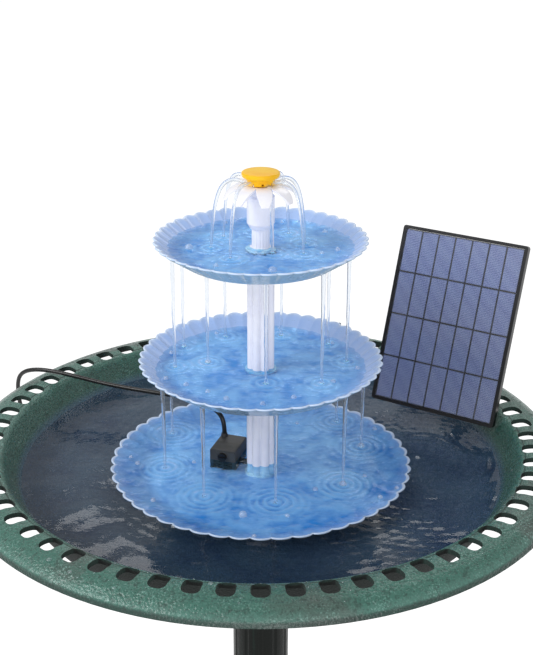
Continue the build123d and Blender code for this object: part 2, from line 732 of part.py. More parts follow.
def panel_leg():
    """Leg from the tilt hinge down to a clamp that grips the brim through two slots."""
    top = panel_spot(0, HINGE_UP, -HINGE_BACK)
    foot = bearing(CLAMP_BEARING, SLOT_R, BRIM_Z + 14)
    along = foot - top
    outward = bearing(CLAMP_BEARING, 1, 0)
    clamp = Plane(origin=bearing(CLAMP_BEARING, SLOT_R, 0), x_dir=outward, z_dir=(0, 0, 1))
    half_pitch = SLOT_R * sin(radians(180 / SLOT_COUNT))
    with BuildPart() as leg:
        with BuildSketch(side_plane(-8, HINGE_UP, -HINGE_BACK)):
            Circle(5.2)
        extrude(amount=16)
        with BuildSketch(Plane(origin=top, z_dir=along)):
            Circle(4)
        extrude(amount=along.length)
        with BuildSketch(clamp.offset(BRIM_Z + 10.8)):
            RectangleRounded(18, 42, 4)
        extrude(amount=4)
        with BuildSketch(side_plane(-9, HINGE_UP, -HINGE_BACK)):
            Circle(2.56)
        extrude(amount=18, mode=Mode.SUBTRACT)
        with BuildSketch(clamp.offset(BRIM_Z + 9)):
            with Locations((0, -half_pitch), (0, half_pitch)):
                Circle(2.6)
        extrude(amount=8, mode=Mode.SUBTRACT)
    save(leg.part, "panel_leg")
    with BuildPart() as plate:
        with BuildSketch(clamp.offset(BRIM_Z - 1)):
            RectangleRounded(16, 42, 4)
            with Locations((0, -half_pitch), (0, half_pitch)):
                Circle(2.6, mode=Mode.SUBTRACT)
        extrude(amount=4)
    save(plate.part, "clamp_plate")
    with BuildPart() as bolts:
        with BuildSketch(clamp.offset(BRIM_Z - 9)):
            with Locations((0, -half_pitch), (0, half_pitch)):
                Circle(2.5)
        extrude(amount=26)
        with BuildSketch(clamp.offset(BRIM_Z + 14.9)):
            with Locations((0, -half_pitch), (0, half_pitch)):
                Circle(4.4)
        extrude(amount=3)
    save(bolts.part, "clamp_bolts")
    with BuildPart() as nuts:
        with BuildSketch(clamp.offset(BRIM_Z - 6.1)):
            with Locations((0, -half_pitch), (0, half_pitch)):
                RegularPolygon(4.6, 6)
                Circle(2.5, mode=Mode.SUBTRACT)
        extrude(amount=5)
    save(nuts.part, "clamp_nuts")


def panel():
    panel_sheets()
    junction_box()
    tilt_bracket()
    panel_leg()


# ---- cord ----
# Routes of the cord's middle line, from one end to the other.
PUMP_ROUTE = [
    (-31.7, 26.5, 699), (-31.7, 26.5, 709), (-36.3, 30.9, 716.6), (-47.5, 41.5, 719.3), (-69, 58, 718),
    (-98, 77.5, 713.5), (-140, 96.5, 712), (-184, 111, 717.5), (-211, 121, 717.5), (-228.5, 130, 709),
    (-232.5, 133, 691), (-230, 133.5, 666), (-217, 128, 643), (-192, 115.5, 626), (-150, 94, 612),
    (-104, 69, 606), (-63, 47.5, 607), (-34, 35, 608), (-15, 30, 601), (-5.5, 28.2, 585),
    (-3.2, 27.8, 560), (-2.9, 27.9, 512), (-3.6, 28.2, 458), (-4.1, 28.4, 402), (-4.2, 28.5, 346),
    (-3.8, 28.4, 292), (-3.2, 28, 240), (-3.3, 28.6, 196), (-4.4, 33, 160), (-6.6, 43, 126),
    (-10, 61, 94), (-14, 85, 62), (-18.5, 110, 36), (-22.5, 134, 17), (-25, 152, 6), (-25.6, 165, 3),
    (-26, 177, 2.8), (-26.2, 189, 2.9)]
PANEL_ROUTE = [
    (26.2, 189, 6.9), (26, 177, 7), (25.6, 164, 7.6), (24.4, 150, 10.6), (22, 132, 20), (18, 108, 38), (13.5, 84, 62),
    (9.6, 61, 93), (6.4, 43, 125), (4.4, 33.2, 160), (3.3, 28.6, 196), (3.2, 28, 240),
    (3.8, 28.4, 292), (4.2, 28.5, 346), (4.1, 28.4, 402), (3.6, 28.2, 458), (2.9, 27.9, 512),
    (3.2, 27.8, 560), (5.4, 28.4, 585), (14.5, 31.5, 600), (32, 42, 607), (60, 69, 606),
    (94, 106, 606), (128, 145, 613), (156, 176, 628), (174, 194, 647), (181.5, 199.5, 667),
    (182.5, 198.6, 684), (182, 196.5, 699), (180.2, 193.8, 709), (174.9, 188.2, 714.6),
    (168.2, 180.8, 715)]
LEAD_ROUTE = [
    (146.2, 156.7, 715), (139.4, 149.3, 715), (131, 133, 717.5), (126.5, 117, 723), (130, 105.5, 729),
    (143, 97, 731)]
COIL_CENTRE = Vector(0, 200, 0)
COIL_R = 24.0
TIE_HEIGHTS = (215, 545)


def corner_radii(route):
    """Largest radius that each corner's shorter run allows."""
    points = [Vector(*point) for point in route]
    radii = []
    for before, here, after in zip(points, points[1:], points[2:]):
        first = here - before
        second = after - here
        turn = radians(first.get_angle(second))
        radii.append(0.45 * min(first.length, second.length) / tan(turn / 2))
    return radii


def cord_tube(name, route):
    """Round tube along straight runs joined by tangent arcs."""
    radii = corner_radii(route)
    with BuildPart() as tube:
        with BuildLine() as path:
            FilletPolyline(*route, radius=radii)
        middle = path.wire()
        with BuildSketch(Plane(origin=middle @ 0, z_dir=middle % 0)):
            Circle(CORD_R)
        sweep(path=middle)
    save(tube.part, name)
    share = tube.part.volume / (pi * CORD_R ** 2 * middle.length)
    print(name, "length", round(middle.length, 1), "smallest radius", round(min(radii), 1),
          "volume share", round(share, 4), "radii", [round(radius) for radius in radii])


def coil_and_tie():
    """Put-away turns of the cord on the ground, and the tie round them."""
    with BuildPart() as coil:
        with BuildSketch(Plane.XZ.offset(-COIL_CENTRE.Y)):
            with Locations((COIL_R, 4.9)):
                RectangleRounded(8.4, 8.2, 2)
        revolve(axis=Axis(COIL_CENTRE, (0, 0, 1)))
    save(coil.part, "cord_coil")
    with BuildPart() as tie:
        with BuildSketch(Plane.YZ.offset(-2)):
            with Locations((COIL_CENTRE.Y + COIL_R, 4.9)):
                RectangleRounded(10.2, 9.8, 2.4)
                RectangleRounded(8.8, 8.5, 2, mode=Mode.SUBTRACT)
        extrude(amount=4)
    save(tie.part, "coil_tie")


def cable_ties():
    """Two bands that hold both strands against the back of the pedestal, with their heads at the side."""
    with BuildSketch() as bundle:
        Circle(COLUMN_R + 0.3)
        with Locations((-3.3, 28), (3.3, 28)):
            Circle(CORD_R + 0.5)
    with BuildPart() as ties:
        for height in TIE_HEIGHTS:
            with BuildSketch(Plane.XY.offset(height - 2)):
                make_hull(bundle.sketch.edges())
                offset(amount=1.2)
                make_hull(bundle.sketch.edges(), mode=Mode.SUBTRACT)
                with Locations((COLUMN_R + 2.6, 0)):
                    Rectangle(4, 6)
            extrude(amount=4)
    save(ties.part, "cable_ties")


def connector():
    """In-line plug and socket that lie across the brim behind the panel."""
    outer = Vector(168.2, 180.8, BRIM_Z + 15)
    inner = Vector(146.5, 157, BRIM_Z + 15)
    inward = (inner - outer).normalized()
    half = (inner - outer).length / 2
    with BuildPart() as plug:
        with BuildSketch(Plane(origin=outer, z_dir=inward)):
            Circle(2.4)
        with BuildSketch(Plane(origin=outer + inward * 6, z_dir=inward)):
            Circle(4)
        loft()
        with BuildSketch(Plane(origin=outer + inward * 6, z_dir=inward)):
            Circle(4)
        extrude(amount=half - 6)
    save(plug.part, "cord_plug")
    with BuildPart() as socket:
        with BuildSketch(Plane(origin=outer + inward * half, z_dir=inward)):
            Circle(4.4)
        extrude(amount=half - 6)
        with BuildSketch(Plane(origin=inner - inward * 6, z_dir=inward)):
            Circle(4.4)
        with BuildSketch(Plane(origin=inner, z_dir=inward)):
            Circle(2.4)
        loft()
    save(socket.part, "cord_socket")


def cord():
    cord_tube("pump_cord", PUMP_ROUTE)
    coil_and_tie()
    cord_tube("panel_cord", PANEL_ROUTE)
    cord_tube("panel_lead", LEAD_ROUTE)
    cable_ties()
    connector()


os.makedirs("parts", exist_ok=True)
pedestal()
basin()
fountain()
pump()
panel()
cord()
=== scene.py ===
"""Pedestal bird bath with a three-tier solar fountain: the looks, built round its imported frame."""
import math
import random

import bpy
from bpy.props import FloatProperty, FloatVectorProperty, IntProperty, PointerProperty
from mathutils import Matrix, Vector


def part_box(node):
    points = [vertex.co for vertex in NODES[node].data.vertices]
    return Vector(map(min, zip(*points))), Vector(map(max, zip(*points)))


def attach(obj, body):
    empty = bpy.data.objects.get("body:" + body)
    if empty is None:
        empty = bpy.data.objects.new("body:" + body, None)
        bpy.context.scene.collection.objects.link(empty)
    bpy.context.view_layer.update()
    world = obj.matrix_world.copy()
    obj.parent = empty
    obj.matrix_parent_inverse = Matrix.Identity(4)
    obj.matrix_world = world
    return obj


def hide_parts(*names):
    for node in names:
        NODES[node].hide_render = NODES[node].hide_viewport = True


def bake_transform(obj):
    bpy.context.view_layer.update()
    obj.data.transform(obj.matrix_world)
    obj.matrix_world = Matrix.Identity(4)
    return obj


bl_info = {
    "name": "Solar Fountain Bird Bath",
    "version": (1, 0, 0),
    "blender": (4, 5, 0),
    "location": "View3D > Sidebar > Bird Bath",
    "description": "Cords, trays, running water and finishes for a pedestal bird bath",
    "category": "Object",
}

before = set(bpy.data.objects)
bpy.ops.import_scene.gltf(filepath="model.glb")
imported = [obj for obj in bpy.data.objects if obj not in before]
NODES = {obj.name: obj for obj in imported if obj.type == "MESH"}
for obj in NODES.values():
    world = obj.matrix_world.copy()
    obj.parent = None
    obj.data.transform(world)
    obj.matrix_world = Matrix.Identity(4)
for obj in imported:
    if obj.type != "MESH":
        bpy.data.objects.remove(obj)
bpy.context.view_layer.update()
MM = 0.001

# ---- driving dimensions, in metres ----
BRIM_Z = 0.7
WALL = 1.7 * MM                     # thickness of a tray
CORD_R = 2 * MM
COIL_CENTRE = Vector((0, 0.2, 0))
COIL_INNER, COIL_OUTER = 22 * MM, 26 * MM
COIL_LOW, COIL_HIGH = 2.9 * MM, 6.9 * MM
COIL_TURNS = 3.5
COIL_STEPS = 16                     # points of the route in one turn
BASIN_WATER_Z = BRIM_Z - 14 * MM
BASIN_WATER_R = 203.6 * MM
WALL_SLOPE = 0.6567                 # how far the bowl's outer wall widens as it rises
PANEL_TURN, PANEL_LEAN = math.radians(31.8), math.radians(19.8)
DOWN = Vector((0, 0, -1))
FLOOR = 26                          # wide enough to fill the view
LIT_SPOT = Vector((0, 0, 0.75))     # what the lamps point at


def metres(*points):
    """Points written in millimetres, as metres."""
    return [[value * MM for value in point] for point in points]


# ---- cord routes ----
PUMP_ROUTE = metres(
    (-31.7, 26.5, 699), (-31.7, 26.5, 709), (-36.3, 30.9, 716.6), (-47.5, 41.5, 719.3),
    (-69, 58, 718), (-98, 77.5, 713.5), (-140, 96.5, 712), (-184, 111, 717.5), (-211, 121, 717.5),
    (-228.5, 130, 709), (-232.5, 133, 691), (-230, 133.5, 666), (-217, 128, 643),
    (-192, 115.5, 626), (-150, 94, 612), (-104, 69, 606), (-63, 47.5, 607), (-34, 35, 608),
    (-15, 30, 601), (-5.5, 28.2, 585), (-3.2, 27.8, 560), (-2.9, 27.9, 512), (-3.6, 28.2, 458),
    (-4.1, 28.4, 402), (-4.2, 28.5, 346), (-3.8, 28.4, 292), (-3.2, 28, 240), (-3.3, 28.6, 196),
    (-4.4, 33, 160), (-6.6, 43, 126), (-10, 61, 94), (-14, 85, 62), (-18.5, 110, 36),
    (-22.5, 134, 17), (-25, 152, 6), (-25.6, 165, 3), (-26, 177, 2.8), (-26.2, 189, 2.9))
PANEL_ROUTE = metres(
    (26.2, 189, 6.9), (26, 177, 7), (25.6, 164, 7.6), (24.4, 150, 10.6), (22, 132, 20),
    (18, 108, 38), (13.5, 84, 62), (9.6, 61, 93), (6.4, 43, 125), (4.4, 33.2, 160),
    (3.3, 28.6, 196), (3.2, 28, 240), (3.8, 28.4, 292), (4.2, 28.5, 346), (4.1, 28.4, 402),
    (3.6, 28.2, 458), (2.9, 27.9, 512), (3.2, 27.8, 560), (5.4, 28.4, 585), (14.5, 31.5, 600),
    (32, 42, 607), (60, 69, 606), (94, 106, 606), (128, 145, 613), (156, 176, 628),
    (174, 194, 647), (181.5, 199.5, 667), (182.5, 198.6, 684), (182, 196.5, 699),
    (180.2, 193.8, 709), (174.9, 188.2, 714.6), (168.2, 180.8, 715))
LEAD_ROUTE = metres(
    (146.2, 156.7, 715), (139.4, 149.3, 715), (131, 133, 717.5), (126.5, 117, 723),
    (130, 105.5, 729), (143, 97, 731))

# name, box, scallops, hole, how far the wall slopes in, how far the water is below the rim
TRAYS = (
    ("lower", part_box("lower_tray"), 48, 3 * MM, 31 * MM, 1.8 * MM),
    ("middle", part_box("middle_tray"), 45, 7.7 * MM, 26.5 * MM, 9.1 * MM),
    ("upper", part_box("upper_tray"), 42, 7.7 * MM, 26.5 * MM, 7.4 * MM),
)
TRAY_FILLET = 20 * MM
BODY_OF_TRAY = {"lower": "stand", "middle": "middle_tier", "upper": "upper_tier"}
WATER_LEVEL = {name: box[1].z - below for name, box, _, _, _, below in TRAYS}

# where the falling water lands
LOWER_LANDINGS = metres(
    (-81, -14), (-46, -62), (12, -71), (68, -42), (88, 25), (-79, 50), (69, 74))
MIDDLE_LANDINGS = metres(
    (-71, -3), (-66, 39), (-44, 6), (-31, 62), (4, -35), (18, 64), (49, -35), (58, 46), (72, 9))
# the nozzle's jets, as (bearing in degrees, how far out they land)
JETS = ((-172, 0.040), (-127, 0.0395), (-62, 0.020), (-30, 0.039), (8, 0.036), (53, 0.038),
        (98, 0.036), (143, 0.038))


def paint(red, green, blue):
    """A colour as the eye reads it, from 0 to 255, as the linear colour that shaders take."""
    shares = (value / 255 for value in (red, green, blue))
    return tuple(s / 12.92 if s <= 0.04045 else ((s + 0.055) / 1.055) ** 2.4 for s in shares)


def colour(name, about, *shade):
    return FloatVectorProperty(name=name, description=about, default=paint(*shade), size=3,
                               min=0, max=1, subtype="COLOR")


def distance(name, about, size):
    return FloatProperty(name=name, description=about, default=size, min=0, subtype="DISTANCE",
                         unit="LENGTH")


def power(name, about, watts):
    return FloatProperty(name=name, description=about, default=watts, min=0, unit="POWER")


class BirdBathColours(bpy.types.PropertyGroup):
    """Colours of the finishes."""
    verdigris: colour("Verdigris", "Green of the bowl", 58, 104, 92)
    # also the painted highlight on the bowl's outer lip
    pale_verdigris_and_highlight: colour("Pale verdigris", "Chalky green on the high spots", 140, 182, 172)
    bronze: colour("Bronze", "Grey-brown that shows through the green", 74, 80, 76)
    # also the painted shade under the lip, on the rim's side and in the slots
    dark_bronze_and_shade: colour("Dark bronze", "Hollows of the grain and the bowl's inside", 14, 28, 25)
    inner_wall_dark: colour("Inner wall", "Bowl's wall above the water", 44, 58, 52)
    sunk: colour("Under water", "Bowl's inside under the water", 70, 92, 116)
    pedestal: colour("Pedestal", "Green-black of the pedestal", 6, 12, 9)
    tray: colour("Tray", "Pale blue plastic of the trays", 166, 194, 240)
    tray_lip_highlight: colour("Tray lip", "Where the thin lip catches the light", 198, 216, 242)
    # painted shade: the outside of a tray's wall, greyer where it faces down
    tray_outside_shade: colour("Tray outside", "Outside of a tray's wall", 150, 178, 198)
    white: colour("White plastic", "Fountain columns and petals", 242, 242, 249)
    yellow: colour("Yellow plastic", "Middle of the flower", 250, 202, 14)
    pump: colour("Pump", "Charcoal plastic of the pump", 62, 62, 60)
    cell: colour("Solar cell", "Blue-violet of the cells", 96, 110, 150)
    # the water's tint, with painted highlight on the crests and painted shade in the hollows
    water_crest_highlight: colour("Water crest", "Tint on the crests in the trays", 132, 220, 250)
    water_trough_shade: colour("Water trough", "Tint in the hollows in the trays", 5, 118, 200)
    pool_crest_highlight: colour("Pool crest", "Tint on the crests in the bowl", 176, 186, 198)
    pool_trough_shade: colour("Pool trough", "Tint in the hollows in the bowl", 26, 60, 112)


class BirdBathSizes(bpy.types.PropertyGroup):
    """Sizes of what is modelled here."""
    scallop_steps: IntProperty(name="Scallop steps", default=12, min=4, max=24,
                               description="Faces across one scallop of a tray")
    notch: distance("Notch", "How far the notches between scallops reach in", 3.3 * MM)
    droop: distance("Droop", "How far the lip dips at a notch", 0.9 * MM)
    ring_height: distance("Ring height", "Height of the ring waves", 1.1 * MM)
    ring_spacing: distance("Ring spacing", "From one ring wave to the next", 6.2 * MM)
    stream: distance("Stream", "Radius of a falling stream where it starts", 1.9 * MM)
    jet: distance("Jet", "Radius of a nozzle jet where it starts", 1.7 * MM)
    bead: distance("Bead", "Radius of a large drop of water", 2.4 * MM)


class BirdBathStudio(bpy.types.PropertyGroup):
    """Camera and light."""
    lens: FloatProperty(name="Lens", description="Focal length", default=68.86, min=10,
                        unit="CAMERA")
    tilt: FloatProperty(name="Tilt", description="How far the camera looks down", subtype="ANGLE",
                        default=math.radians(22.52))
    back: distance("Distance", "Camera in front of the pedestal's axis", 0.9498)
    height: distance("Height", "Camera above the ground", 1.2031)
    aside: FloatProperty(name="Shift", description="Sideways shift of the picture", default=0.0088)
    key_light: power("Key light", "Power of the large soft light", 14)
    front_light: power("Front light", "Power of the low fill light", 7)
    back_light: power("Back light", "Power of the strip behind", 4)
    sky: FloatProperty(name="Surroundings", description="Brightness of the white room",
                       default=0.62, min=0)


GROUPS = {"bird_bath_sizes": BirdBathSizes, "bird_bath_colours": BirdBathColours,
          "bird_bath_studio": BirdBathStudio}


def colours():
    return bpy.context.scene.bird_bath_colours


def sizes():
    return bpy.context.scene.bird_bath_sizes


# ---- modelling helpers ----
def kept_in(value):
    """Holds a number between 0 and 1."""
    return min(1, max(0, value))


def bearing(spot):
    """Distance from the Z axis, and angle round it."""
    return math.hypot(spot.x, spot.y), math.atan2(spot.y, spot.x)


def only(piece):
    """Selects one object alone and makes it active."""
    bpy.ops.object.select_all(action="DESELECT")
    piece.select_set(True)
    bpy.context.view_layer.objects.active = piece


def edit(piece):
    only(piece)
    bpy.ops.object.mode_set(mode="EDIT")
    bpy.ops.mesh.select_all(action="SELECT")


def leave_edit():
    bpy.ops.object.mode_set(mode="OBJECT")


def named(name):
    piece = bpy.context.object
    piece.name = name
    piece.data.name = name
    return piece


def spun(name, outline, steps, cuts=()):
    """Draws an outline point by point in the XZ plane, divides it and spins it round Z."""
    speck = 0.1 * MM
    bpy.ops.object.select_all(action="DESELECT")
    bpy.ops.mesh.primitive_plane_add(size=speck, location=(0, 0, 0))
    piece = named(name)
    edit(piece)
    bpy.ops.mesh.merge(type="CENTER")
    bpy.ops.mesh.select_all(action="SELECT")
    bpy.ops.transform.translate(value=outline[0])
    for here, there in zip(outline, outline[1:]):
        step = Vector(there) - Vector(here)
        bpy.ops.mesh.extrude_vertices_move(TRANSFORM_OT_translate={"value": step})
    bpy.ops.mesh.select_all(action="SELECT")
    for count in cuts:
        bpy.ops.mesh.subdivide(number_cuts=count)
    bpy.ops.mesh.select_all(action="SELECT")
    bpy.ops.mesh.spin(steps=steps, angle=math.tau, center=(0, 0, 0), axis=(0, 0, 1),
                      use_auto_merge=True)
    bpy.ops.mesh.select_all(action="SELECT")
    bpy.ops.mesh.remove_doubles(threshold=speck / 10)
    bpy.ops.mesh.normals_make_consistent(inside=False)
    leave_edit()
    return piece


def face_up(piece):
    """Turns an open sheet so that its faces point upwards."""
    if sum(face.normal.z * face.area for face in piece.data.polygons) < 0:
        edit(piece)
        bpy.ops.mesh.flip_normals()
        leave_edit()


def apply_all(piece):
    only(piece)
    for modifier in list(piece.modifiers):
        bpy.ops.object.modifier_apply(modifier=modifier.name)


def store(piece, name, values):
    """Keeps one number for each point of a mesh, for its material to read."""
    attribute = piece.data.attributes.new(name, "FLOAT", "POINT")
    attribute.data.foreach_set("value", list(values))


def wet(piece, material, body=None):
    """Finishes a piece of water, which lets the light through."""
    only(piece)
    bpy.ops.object.shade_smooth()
    piece.data.materials.clear()
    piece.data.materials.append(material)
    if body:
        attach(piece, body)
    piece.visible_shadow = False
    piece.visible_diffuse = False


# ---- shader helpers ----
def titled(key):
    """The name that a shader's socket shows."""
    return key.replace("_", " ").title().replace("Ior", "IOR")


def blank(name, roughness=0.5, **settings):
    """A new material with its Principled shader's plain values set."""
    material = bpy.data.materials.new(name)
    material.use_nodes = True
    shader = material.node_tree.nodes["Principled BSDF"]
    shader.inputs["Roughness"].default_value = roughness
    for key, value in settings.items():
        shader.inputs[titled(key)].default_value = value
    return material, material.node_tree, shader


def feed(tree, shader, **sources):
    for key, source in sources.items():
        tree.links.new(source, shader.inputs[titled(key)])


def add(tree, kind, **settings):
    node = tree.nodes.new(kind)
    for key, value in settings.items():
        setattr(node, key, value)
    return node


def plug(tree, source, target):
    """Feeds a socket from another socket, or sets it to a value."""
    if isinstance(source, bpy.types.NodeSocket):
        tree.links.new(source, target)
    elif target.type == "RGBA" and len(source) == 3:
        target.default_value = (*source, 1)
    else:
        target.default_value = source


def maths(tree, operation, first, second=0.0):
    node = add(tree, "ShaderNodeMath", operation=operation)
    plug(tree, first, node.inputs[0])
    plug(tree, second, node.inputs[1])
    return node.outputs[0]


def spread(tree, value, low, high, to_low=0.0, to_high=1.0):
    """Maps low..high smoothly to to_low..to_high."""
    node = add(tree, "ShaderNodeMapRange", interpolation_type="SMOOTHSTEP")
    for socket, number in zip(node.inputs[:5], (value, low, high, to_low, to_high)):
        plug(tree, number, socket)
    return node.outputs[0]


def times(tree, first, second):
    return maths(tree, "MULTIPLY", first, second)


def most(tree, first, second):
    return maths(tree, "MAXIMUM", first, second)


def blended(tree, share, first, second):
    node = add(tree, "ShaderNodeMix", data_type="RGBA")
    for number, source in ((0, share), (6, first), (7, second)):
        plug(tree, source, node.inputs[number])
    return node.outputs[2]


def laid(tree, mask, share, under, over):
    """Lays a colour over another one where a mask is, as thickly as a share says."""
    return blended(tree, times(tree, mask, share), under, over)


def place(tree, scale=(1, 1, 1)):
    """Object coordinates through a Mapping node."""
    where = add(tree, "ShaderNodeTexCoord")
    mapping = add(tree, "ShaderNodeMapping")
    mapping.inputs["Scale"].default_value = scale
    tree.links.new(where.outputs["Object"], mapping.inputs["Vector"])
    return mapping.outputs["Vector"]


def noise(tree, vector, scale, detail=4.0, roughness=0.55, distortion=0.0):
    node = add(tree, "ShaderNodeTexNoise")
    tree.links.new(vector, node.inputs["Vector"])
    for name, value in (("Scale", scale), ("Detail", detail), ("Roughness", roughness),
                        ("Distortion", distortion)):
        node.inputs[name].default_value = value
    return node.outputs["Fac"]


def new_group(name, inputs, outputs):
    """An empty node group with inputs and outputs; all are numbers but the input Vector."""
    group = bpy.data.node_groups.new(name, "ShaderNodeTree")
    for title, default in inputs:
        kind = "NodeSocketVector" if title == "Vector" else "NodeSocketFloat"
        socket = group.interface.new_socket(title, in_out="INPUT", socket_type=kind)
        if title != "Vector":
            socket.default_value = default
    for title in outputs:
        group.interface.new_socket(title, in_out="OUTPUT", socket_type="NodeSocketFloat")
    return group, add(group, "NodeGroupInput"), add(group, "NodeGroupOutput")


def mottle_group():
    """Cloudy patches: noise spread between a low and a high threshold."""
    group, given, made = new_group(
        "Mottle", (("Vector", None), ("Scale", 20.0), ("Low", 0.4), ("High", 0.6), ("Warp", 0.0)),
        ("Mask",))
    cloud = add(group, "ShaderNodeTexNoise")
    cloud.inputs["Detail"].default_value = 6
    cloud.inputs["Roughness"].default_value = 0.6
    for title, socket in (("Vector", "Vector"), ("Scale", "Scale"), ("Warp", "Distortion")):
        group.links.new(given.outputs[title], cloud.inputs[socket])
    mask = spread(group, cloud.outputs["Fac"], given.outputs["Low"], given.outputs["High"])
    group.links.new(mask, made.inputs["Mask"])


def grain_group():
    """Fine moulded or cast grain: cells softened with noise."""
    group, given, made = new_group(
        "Grain", (("Vector", None), ("Scale", 500.0), ("Softness", 0.5)), ("Height",))
    cells = add(group, "ShaderNodeTexVoronoi", feature="SMOOTH_F1")
    cells.inputs["Smoothness"].default_value = 0.6
    dust = add(group, "ShaderNodeTexNoise")
    dust.inputs["Detail"].default_value = 3
    for node in (cells, dust):
        group.links.new(given.outputs["Vector"], node.inputs["Vector"])
    group.links.new(given.outputs["Scale"], cells.inputs["Scale"])
    group.links.new(times(group, given.outputs["Scale"], 0.8), dust.inputs["Scale"])
    mixed = add(group, "ShaderNodeMix", data_type="FLOAT")
    group.links.new(given.outputs["Softness"], mixed.inputs[0])
    group.links.new(cells.outputs["Distance"], mixed.inputs[2])
    group.links.new(dust.outputs["Fac"], mixed.inputs[3])
    group.links.new(mixed.outputs[0], made.inputs["Height"])


def use_group(tree, name, vector, **values):
    node = add(tree, "ShaderNodeGroup", node_tree=bpy.data.node_groups[name])
    tree.links.new(vector, node.inputs["Vector"])
    for title, value in values.items():
        node.inputs[title].default_value = value
    return node.outputs[0]


def mottle(tree, vector, scale, low, high, warp=0.0):
    return use_group(tree, "Mottle", vector, Scale=scale, Low=low, High=high, Warp=warp)


def grain(tree, vector, scale, softness=0.5):
    return use_group(tree, "Grain", vector, Scale=scale, Softness=softness)


def bump(tree, shader, height, strength, depth):
    node = add(tree, "ShaderNodeBump")
    node.inputs["Strength"].default_value = strength
    node.inputs["Distance"].default_value = depth
    tree.links.new(height, node.inputs["Height"])
    tree.links.new(node.outputs["Normal"], shader.inputs["Normal"])


def axis_value(tree, axis):
    """One of the piece's own coordinates: X, Y or Z."""
    split = add(tree, "ShaderNodeSeparateXYZ")
    tree.links.new(place(tree), split.inputs[0])
    return split.outputs[axis]


def radius_value(tree):
    """How far a point is from the Z axis."""
    flat = add(tree, "ShaderNodeVectorMath", operation="LENGTH")
    tree.links.new(place(tree, (1, 1, 0)), flat.inputs[0])
    return flat.outputs["Value"]


def attribute_value(tree, name):
    return add(tree, "ShaderNodeAttribute", attribute_name=name).outputs["Fac"]


# ---- finishes ----
def verdigris():
    """Cast look of the bowl: green over bronze, paler on the outer lip as painted highlight and
    partly wear, darker on the inner wall and under the water, with painted shade in the slots, under
    the lip, on the rim's side and on the underside.
    """
    shades = colours()
    material, tree, shader = blank("verdigris", 0.4)
    where = place(tree)
    cast = grain(tree, where, 560, 0.55)
    patches = mottle(tree, where, 11, 0.46, 0.66, 0.5)
    specks = mottle(tree, where, 240, 0.5, 0.68)
    chalk = mottle(tree, where, 700, 0.52, 0.64)
    bloom = mottle(tree, where, 30, 0.42, 0.66)
    shade = laid(tree, patches, 0.8, shades.verdigris, shades.bronze)
    chalky = maths(tree, "ADD", times(tree, bloom, 0.6), 0.12)
    shade = laid(tree, chalk, chalky, shade, shades.pale_verdigris_and_highlight)
    shade = laid(tree, specks, 0.5, shade, shades.dark_bronze_and_shade)
    shade = laid(tree, spread(tree, cast, 0.5, 0.25), 0.5, shade, shades.dark_bronze_and_shade)

    # masks by place, each fading between two radii or two heights in metres
    radius = radius_value(tree)
    height = axis_value(tree, 2)
    # painted highlight, partly wear: a pale wash along the outer rolled lip
    lip = times(tree, spread(tree, radius, 0.2465, 0.2525), spread(tree, height, 0.6965, 0.699))
    shade = laid(tree, lip, 0.12, shade, shades.pale_verdigris_and_highlight)
    # darker on the inner wall above the water
    inside = spread(tree, radius, 0.2185, 0.2105)
    shade = laid(tree, inside, 0.35, shade, shades.inner_wall_dark)
    under = spread(tree, height, 0.6975, 0.6945)
    sunk = times(tree, under, spread(tree, radius, 0.2075, 0.2015))
    # painted shade under the outer lip and on the rim's outer side
    edge = times(tree, under, spread(tree, radius, 0.246, 0.252))
    rim_side_shade = spread(tree, radius, 0.2526, 0.254)
    normal = add(tree, "ShaderNodeSeparateXYZ")
    tree.links.new(add(tree, "ShaderNodeTexCoord").outputs["Normal"], normal.inputs[0])
    # painted shade on the upright walls of the slots
    upright = spread(tree, maths(tree, "ABSOLUTE", normal.outputs[2]), 0.35, 0.1)
    shaded_slot_walls = times(tree, upright, times(tree, spread(tree, radius, 0.2155, 0.2165),
                                      spread(tree, radius, 0.2395, 0.2385)))

    # the outside of the bowl's wall, which slopes, and all that faces down: painted shade, nearly
    # black
    past_wall = maths(tree, "SUBTRACT", radius, times(tree, height, WALL_SLOPE))
    outer = times(tree, spread(tree, past_wall, -0.2454, -0.2444),
                  spread(tree, radius, 0.2225, 0.2205))
    below = most(tree, spread(tree, normal.outputs[2], 0.02, -0.12), outer)
    # darker under the water; painted shade under the lip, on the rim's side, in the slots and on the
    # underside
    for mask, share, dark in ((sunk, 0.8, shades.sunk),
                              (most(tree, edge, rim_side_shade), 0.75, shades.dark_bronze_and_shade),
                              (shaded_slot_walls, 0.9, shades.dark_bronze_and_shade),
                              (below, 0.96, paint(6, 12, 11))):
        shade = laid(tree, mask, share, shade, dark)
    dull = most(tree, below, shaded_slot_walls)
    feed(tree, shader, base_color=shade,
         roughness=most(tree, spread(tree, specks, 0.0, 1.0, 0.26, 0.5), dull))
    bump(tree, shader, cast, 0.8, 1.1 * MM)
    return material


def pedestal_green():
    """Green-black pedestal with pale runs down the flutes."""
    shades = colours()
    material, tree, shader = blank("pedestal_green", 0.42, specular_ior_level=0.15)
    where = place(tree)
    runs = mottle(tree, place(tree, (1, 1, 0.08)), 150, 0.55, 0.75)
    patches = mottle(tree, where, 22, 0.48, 0.7)
    shade = laid(tree, patches, 0.35, shades.pedestal, shades.dark_bronze_and_shade)
    shade = laid(tree, runs, 0.12, shade, shades.verdigris)
    feed(tree, shader, base_color=shade, roughness=spread(tree, patches, 0, 1, 0.34, 0.55))
    bump(tree, shader, grain(tree, where, 520), 0.4, 0.6 * MM)
    return material


def darker(shade, keep):
    return tuple(value * keep for value in shade)


